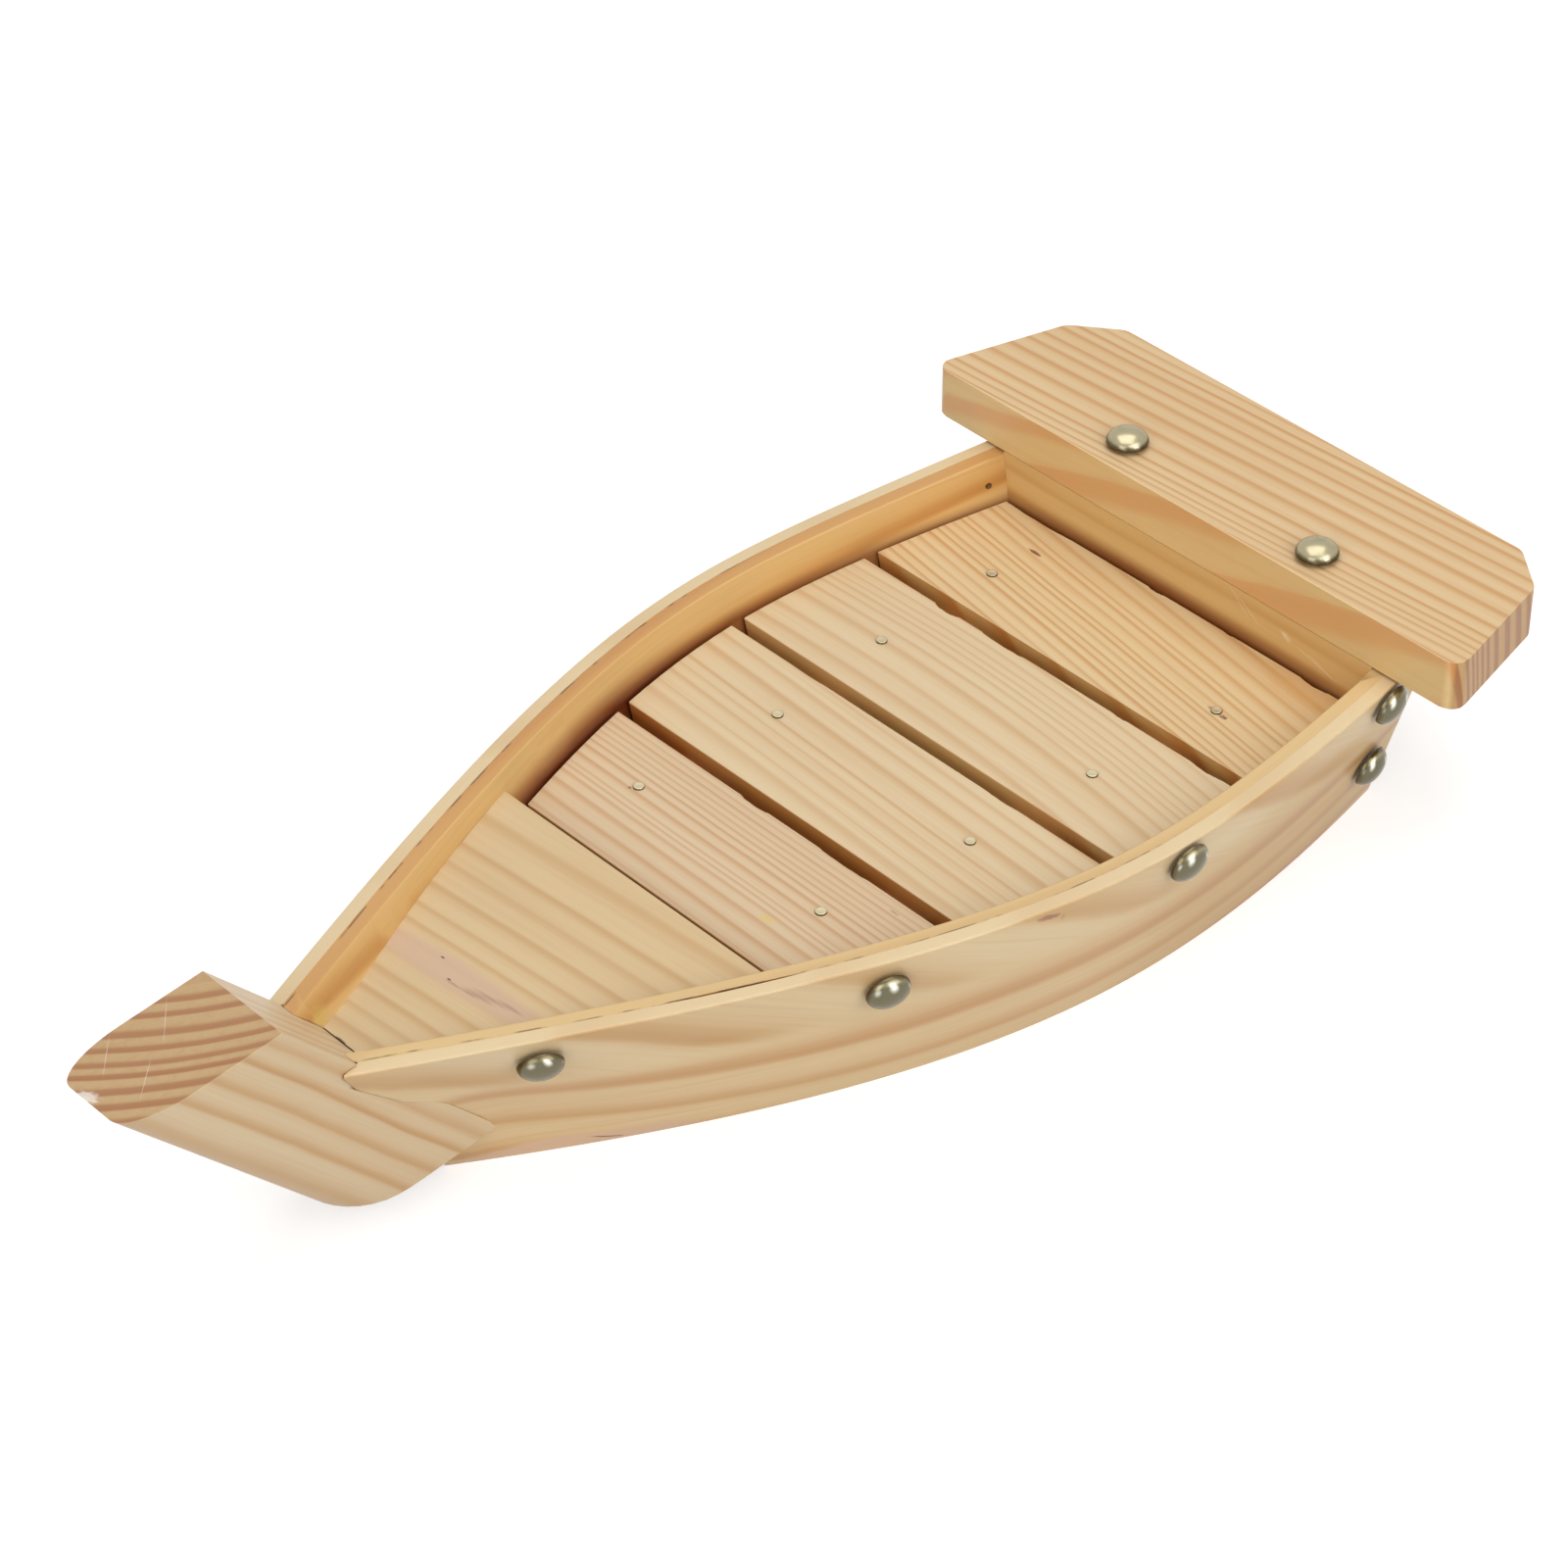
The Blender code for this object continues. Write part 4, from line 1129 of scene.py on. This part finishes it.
# %% Nail metal
# Painted light on the nails: the crown is painted lit, the flank painted shaded, the rim painted dark with
# shade, and the gleam is a painted highlight
PAINTED_LIT_CROWN = colour(174, 164, 133)
PAINTED_SHADED_FLANK = colour(112, 107, 86)
PAINTED_RIM_SHADE = colour(88, 76, 50)
PAINTED_HIGHLIGHT = colour(250, 248, 232)
PAINTED_LIT_STEEL_CROWN = colour(205, 192, 158)
PAINTED_SHADED_STEEL_FLANK = colour(112, 98, 74)
CLOUD_GRAIN = (300.0, 300.0, 300.0)
# Each painted highlight is a facing, how far it spreads from it, and how bright it is
PAINTED_HIGHLIGHT_SPOTS = (
    ((-0.30, 0.0, 0.34), (0.20, 9.0, 0.36), 1.0),
    ((-0.78, 0.0, 0.22), (0.14, 9.0, 0.26), 0.5),
    ((0.47, 0.0, 0.12), (0.16, 9.0, 0.30), 0.5),
)


def metal_material(name, lit_crown, shaded_flank, roughness):
    """Metal with painted light: bright where it faces up, painted shade on its flanks and rim, and painted
    highlights in a few spots.
    """
    material, tree = new_material(name)
    shader = tree.nodes["Principled BSDF"]
    shader.inputs["Metallic"].default_value = 1.0
    attribute = tree.nodes.new("ShaderNodeAttribute")
    attribute.attribute_name = "from_crown"
    place = tree.nodes.new("ShaderNodeTexCoord")
    cloud = noise(tree, place.outputs["Object"], CLOUD_GRAIN)
    facing = tree.nodes.new("ShaderNodeSeparateXYZ")
    feed(tree, facing.inputs[0], place.outputs["Normal"])
    # Painted light: bright where the head faces up, painted shade on the flanks
    tint = blend(tree, ease(tree, facing.outputs[2], 0.3, 0.75), shaded_flank, lit_crown)
    # Painted highlights, placed by the way the surface faces
    for centre, reach, share in PAINTED_HIGHLIGHT_SPOTS:
        highlight_mask = place_group(tree, spot, {
            "Point": place.outputs["Normal"], "Centre": centre, "Reach": reach, "Ragged": 0.2, "Soft": 0.9})
        tint = blend(tree, sums(tree, "MULTIPLY", highlight_mask.outputs[0], share), tint, PAINTED_HIGHLIGHT)
    # Painted shade: a dark line round the rim, where the head meets the wood
    speckle = sums(tree, "SUBTRACT", cloud, NOISE_MEAN)
    rim_shade = sums(tree, "MULTIPLY_ADD", speckle, 0.1, attribute.outputs["Fac"])
    tint = blend(tree, ease(tree, rim_shade, 0.9, 1.0, 0.0, 0.85), tint, PAINTED_RIM_SHADE)
    feed(tree, shader.inputs["Base Color"], blend(tree, ease(tree, cloud, 0.4, 0.8, 0.0, 0.3), tint, shaded_flank))
    feed(tree, shader.inputs["Roughness"], ease(tree, cloud, 0.3, 0.7, roughness - 0.03, roughness + 0.05))
    return material


def store_from_crown(nail, radius):
    """Give each point its distance from the middle of the head, as a share of the radius."""
    share = nail.data.attributes.new("from_crown", "FLOAT", "POINT")
    for index, vertex in enumerate(nail.data.vertices):
        share.data[index].value = vertex.co.xy.length / radius


dome_brass = metal_material("dome_brass", PAINTED_LIT_CROWN, PAINTED_SHADED_FLANK, roughness=0.24)
slat_steel = metal_material("slat_steel", PAINTED_LIT_STEEL_CROWN, PAINTED_SHADED_STEEL_FLANK, roughness=0.34)
print("metals:", dome_brass.name, slat_steel.name)

# %% [markdown]
# ## One dome nail
#
# A stamped head is a shallow dome on a short straight rim. Its outline could be spun round, but a
# sphere cut in half and pressed flat already has even faces. The rim reaches a little way into the
# wood, so that no light shows under it.

# %% Dome nail
DOME_RADIUS = 5.7 * MM
DOME_HEIGHT = 3.4 * MM
SEAT_GAP = 0.2 * MM

bpy.ops.object.select_all(action="DESELECT")
bpy.ops.mesh.primitive_uv_sphere_add(segments=48, ring_count=32, radius=DOME_RADIUS)
dome = bpy.context.object
dome.name = "dome_nail"
bpy.ops.object.mode_set(mode="EDIT")
bpy.ops.mesh.bisect(plane_co=(0, 0, 0), plane_no=(0, 0, 1), clear_inner=True)
bpy.ops.mesh.select_all(action="SELECT")
bpy.ops.transform.resize(value=(1.0, 1.0, DOME_HEIGHT / DOME_RADIUS))
choose(dome, lambda edge: edge.is_boundary)
bpy.ops.mesh.extrude_region_move(TRANSFORM_OT_translate={"value": (0, 0, -SEAT_GAP)})
bpy.ops.mesh.fill_holes(sides=0)
bpy.ops.object.mode_set(mode="OBJECT")
store_from_crown(dome, DOME_RADIUS)
bpy.ops.object.shade_smooth_by_angle(angle=SHARP)
dome.data.materials.append(dome_brass)
print("dome nail:", len(dome.data.polygons), "faces")

# %% [markdown]
# ## One slat nail
#
# The slats are held by small flat heads that the hammer has pressed a little hollow. A plain disc
# would catch the light all at once, so a bevel rounds the rim and an inset sinks the middle.

# %% Slat nail
NAIL_RADIUS = 1.5 * MM
NAIL_HEAD = 0.32 * MM
NAIL_ROUND = 0.22 * MM
DISH_INSET = 0.45 * MM
DISH_DEPTH = 0.08 * MM

bpy.ops.object.select_all(action="DESELECT")
bpy.ops.mesh.primitive_cylinder_add(
    vertices=28, radius=NAIL_RADIUS, depth=NAIL_HEAD + SEAT_GAP, location=(0, 0, (NAIL_HEAD - SEAT_GAP) / 2))
flat_nail = bpy.context.object
flat_nail.name = "slat_nail"
bpy.ops.object.transform_apply(location=True)
bpy.ops.object.mode_set(mode="EDIT")
choose(flat_nail, lambda face: face.normal.z > 0.9, "FACE")
bpy.ops.mesh.bevel(offset=NAIL_ROUND, segments=4, affect="EDGES")
choose(flat_nail, lambda face: face.normal.z > 0.99, "FACE")
bpy.ops.mesh.inset(thickness=DISH_INSET, depth=-DISH_DEPTH)
bpy.ops.object.mode_set(mode="OBJECT")
store_from_crown(flat_nail, NAIL_RADIUS)
bpy.ops.object.shade_smooth_by_angle(angle=SHARP)
flat_nail.data.materials.append(slat_steel)
print("slat nail:", len(flat_nail.data.polygons), "faces")

# %% [markdown]
# ## Driving the nails
#
# The frame's own nails give each place and direction. The two heads are copied there. Copies could
# share one mesh, but each needs its place in its own mesh, because the export moves every object to
# the origin.

# %% Drive the nails
for name, (middle, axis) in nail_places.items():
    slat = name.startswith("slat")
    master = flat_nail if slat else dome
    nail = bpy.data.objects.new(name + "_head", master.data.copy())
    bpy.context.scene.collection.objects.link(nail)
    turn = axis.to_track_quat("Z", "Y").to_matrix().to_4x4()
    nail.data.transform(Matrix.Translation(middle) @ turn)
    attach(nail, "slat_deck" if slat else "hull")
    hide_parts(name)
for master in (dome, flat_nail):
    bpy.data.objects.remove(master)
print("nails driven:", len(nail_places))

# %% [markdown]
# ## The white floor
#
# The photograph is a studio picture on white. The floor takes the lamps' light, so that it keeps
# the boat's shadow, and adds a little light of its own that only the lens and shiny metal see.

# %% Floor
FLOOR_HALF = 6.0
FLOOR_DROP = 0.05 * MM
PAPER_WHITE = (0.6, 0.6, 0.6, 1.0)
PAPER_GLOW = 0.6


def seen_directly(tree):
    """1 for rays from the lens, also by way of metal or glass, and 0 for the rest."""
    rays = tree.nodes.new("ShaderNodeLightPath")
    seen = sums(tree, "MAXIMUM", rays.outputs["Is Camera Ray"], rays.outputs["Is Glossy Ray"])
    return sums(tree, "MAXIMUM", seen, rays.outputs["Is Transmission Ray"])


bpy.ops.object.select_all(action="DESELECT")
bpy.ops.mesh.primitive_plane_add(size=2 * FLOOR_HALF, location=(0, 0, -FLOOR_DROP))
floor = bpy.context.object
floor.name = "studio_floor"
paper, tree = new_material("white_paper")
tree.nodes.remove(tree.nodes["Principled BSDF"])
matt = tree.nodes.new("ShaderNodeBsdfDiffuse")
matt.inputs["Color"].default_value = PAPER_WHITE
glow = tree.nodes.new("ShaderNodeEmission")
feed(tree, glow.inputs["Strength"], sums(tree, "MULTIPLY", seen_directly(tree), PAPER_GLOW))
both = tree.nodes.new("ShaderNodeAddShader")
feed(tree, both.inputs[0], matt.outputs[0])
feed(tree, both.inputs[1], glow.outputs[0])
feed(tree, tree.nodes["Material Output"].inputs["Surface"], both.outputs[0])
floor.data.materials.append(paper)
print("floor:", 2 * FLOOR_HALF, "m wide")

# %% [markdown]
# ## The studio lamps
#
# Three large soft lamps, overhead, to port and off the bow, give the gentle shading of a studio. One
# sun would be simpler, but its shadows are hard. The world adds a low, even light to the boat, and
# the lens and shiny metal see it as white.

# %% Light
MIDDLE = (0.0, 0.0, 0.03)
SKY_LIGHT = 0.3
# Each lamp has its place and size in metres, and its power in watts
LAMPS = (
    ("overhead_box", (0.15, 0.15, 1.7), 1.6, 13.0),
    ("key_box", (0.1, -1.6, 1.1), 1.7, 19.5),
    ("bow_box", (-1.7, -0.5, 0.8), 1.2, 11.5),
)


def soft_box(name, place, size, power):
    """A square studio lamp that points at the middle of the boat."""
    lamp = bpy.data.objects.new(name, bpy.data.lights.new(name, "AREA"))
    bpy.context.scene.collection.objects.link(lamp)
    lamp.location = place
    lamp.rotation_mode = "QUATERNION"
    lamp.rotation_quaternion = (Vector(MIDDLE) - Vector(place)).to_track_quat("-Z", "Y")
    lamp.data.size = size
    lamp.data.energy = power


for name, place, size, power in LAMPS:
    soft_box(name, place, size, power)
world = bpy.data.worlds.new("studio")
bpy.context.scene.world = world
world.use_nodes = True
tree = world.node_tree
sky = tree.nodes["Background"]
sky.inputs["Color"].default_value = (1.0, 1.0, 1.0, 1.0)
feed(tree, sky.inputs["Strength"], ease(tree, seen_directly(tree), 0.0, 1.0, SKY_LIGHT, 1.0))
print("lamps:", len(LAMPS))
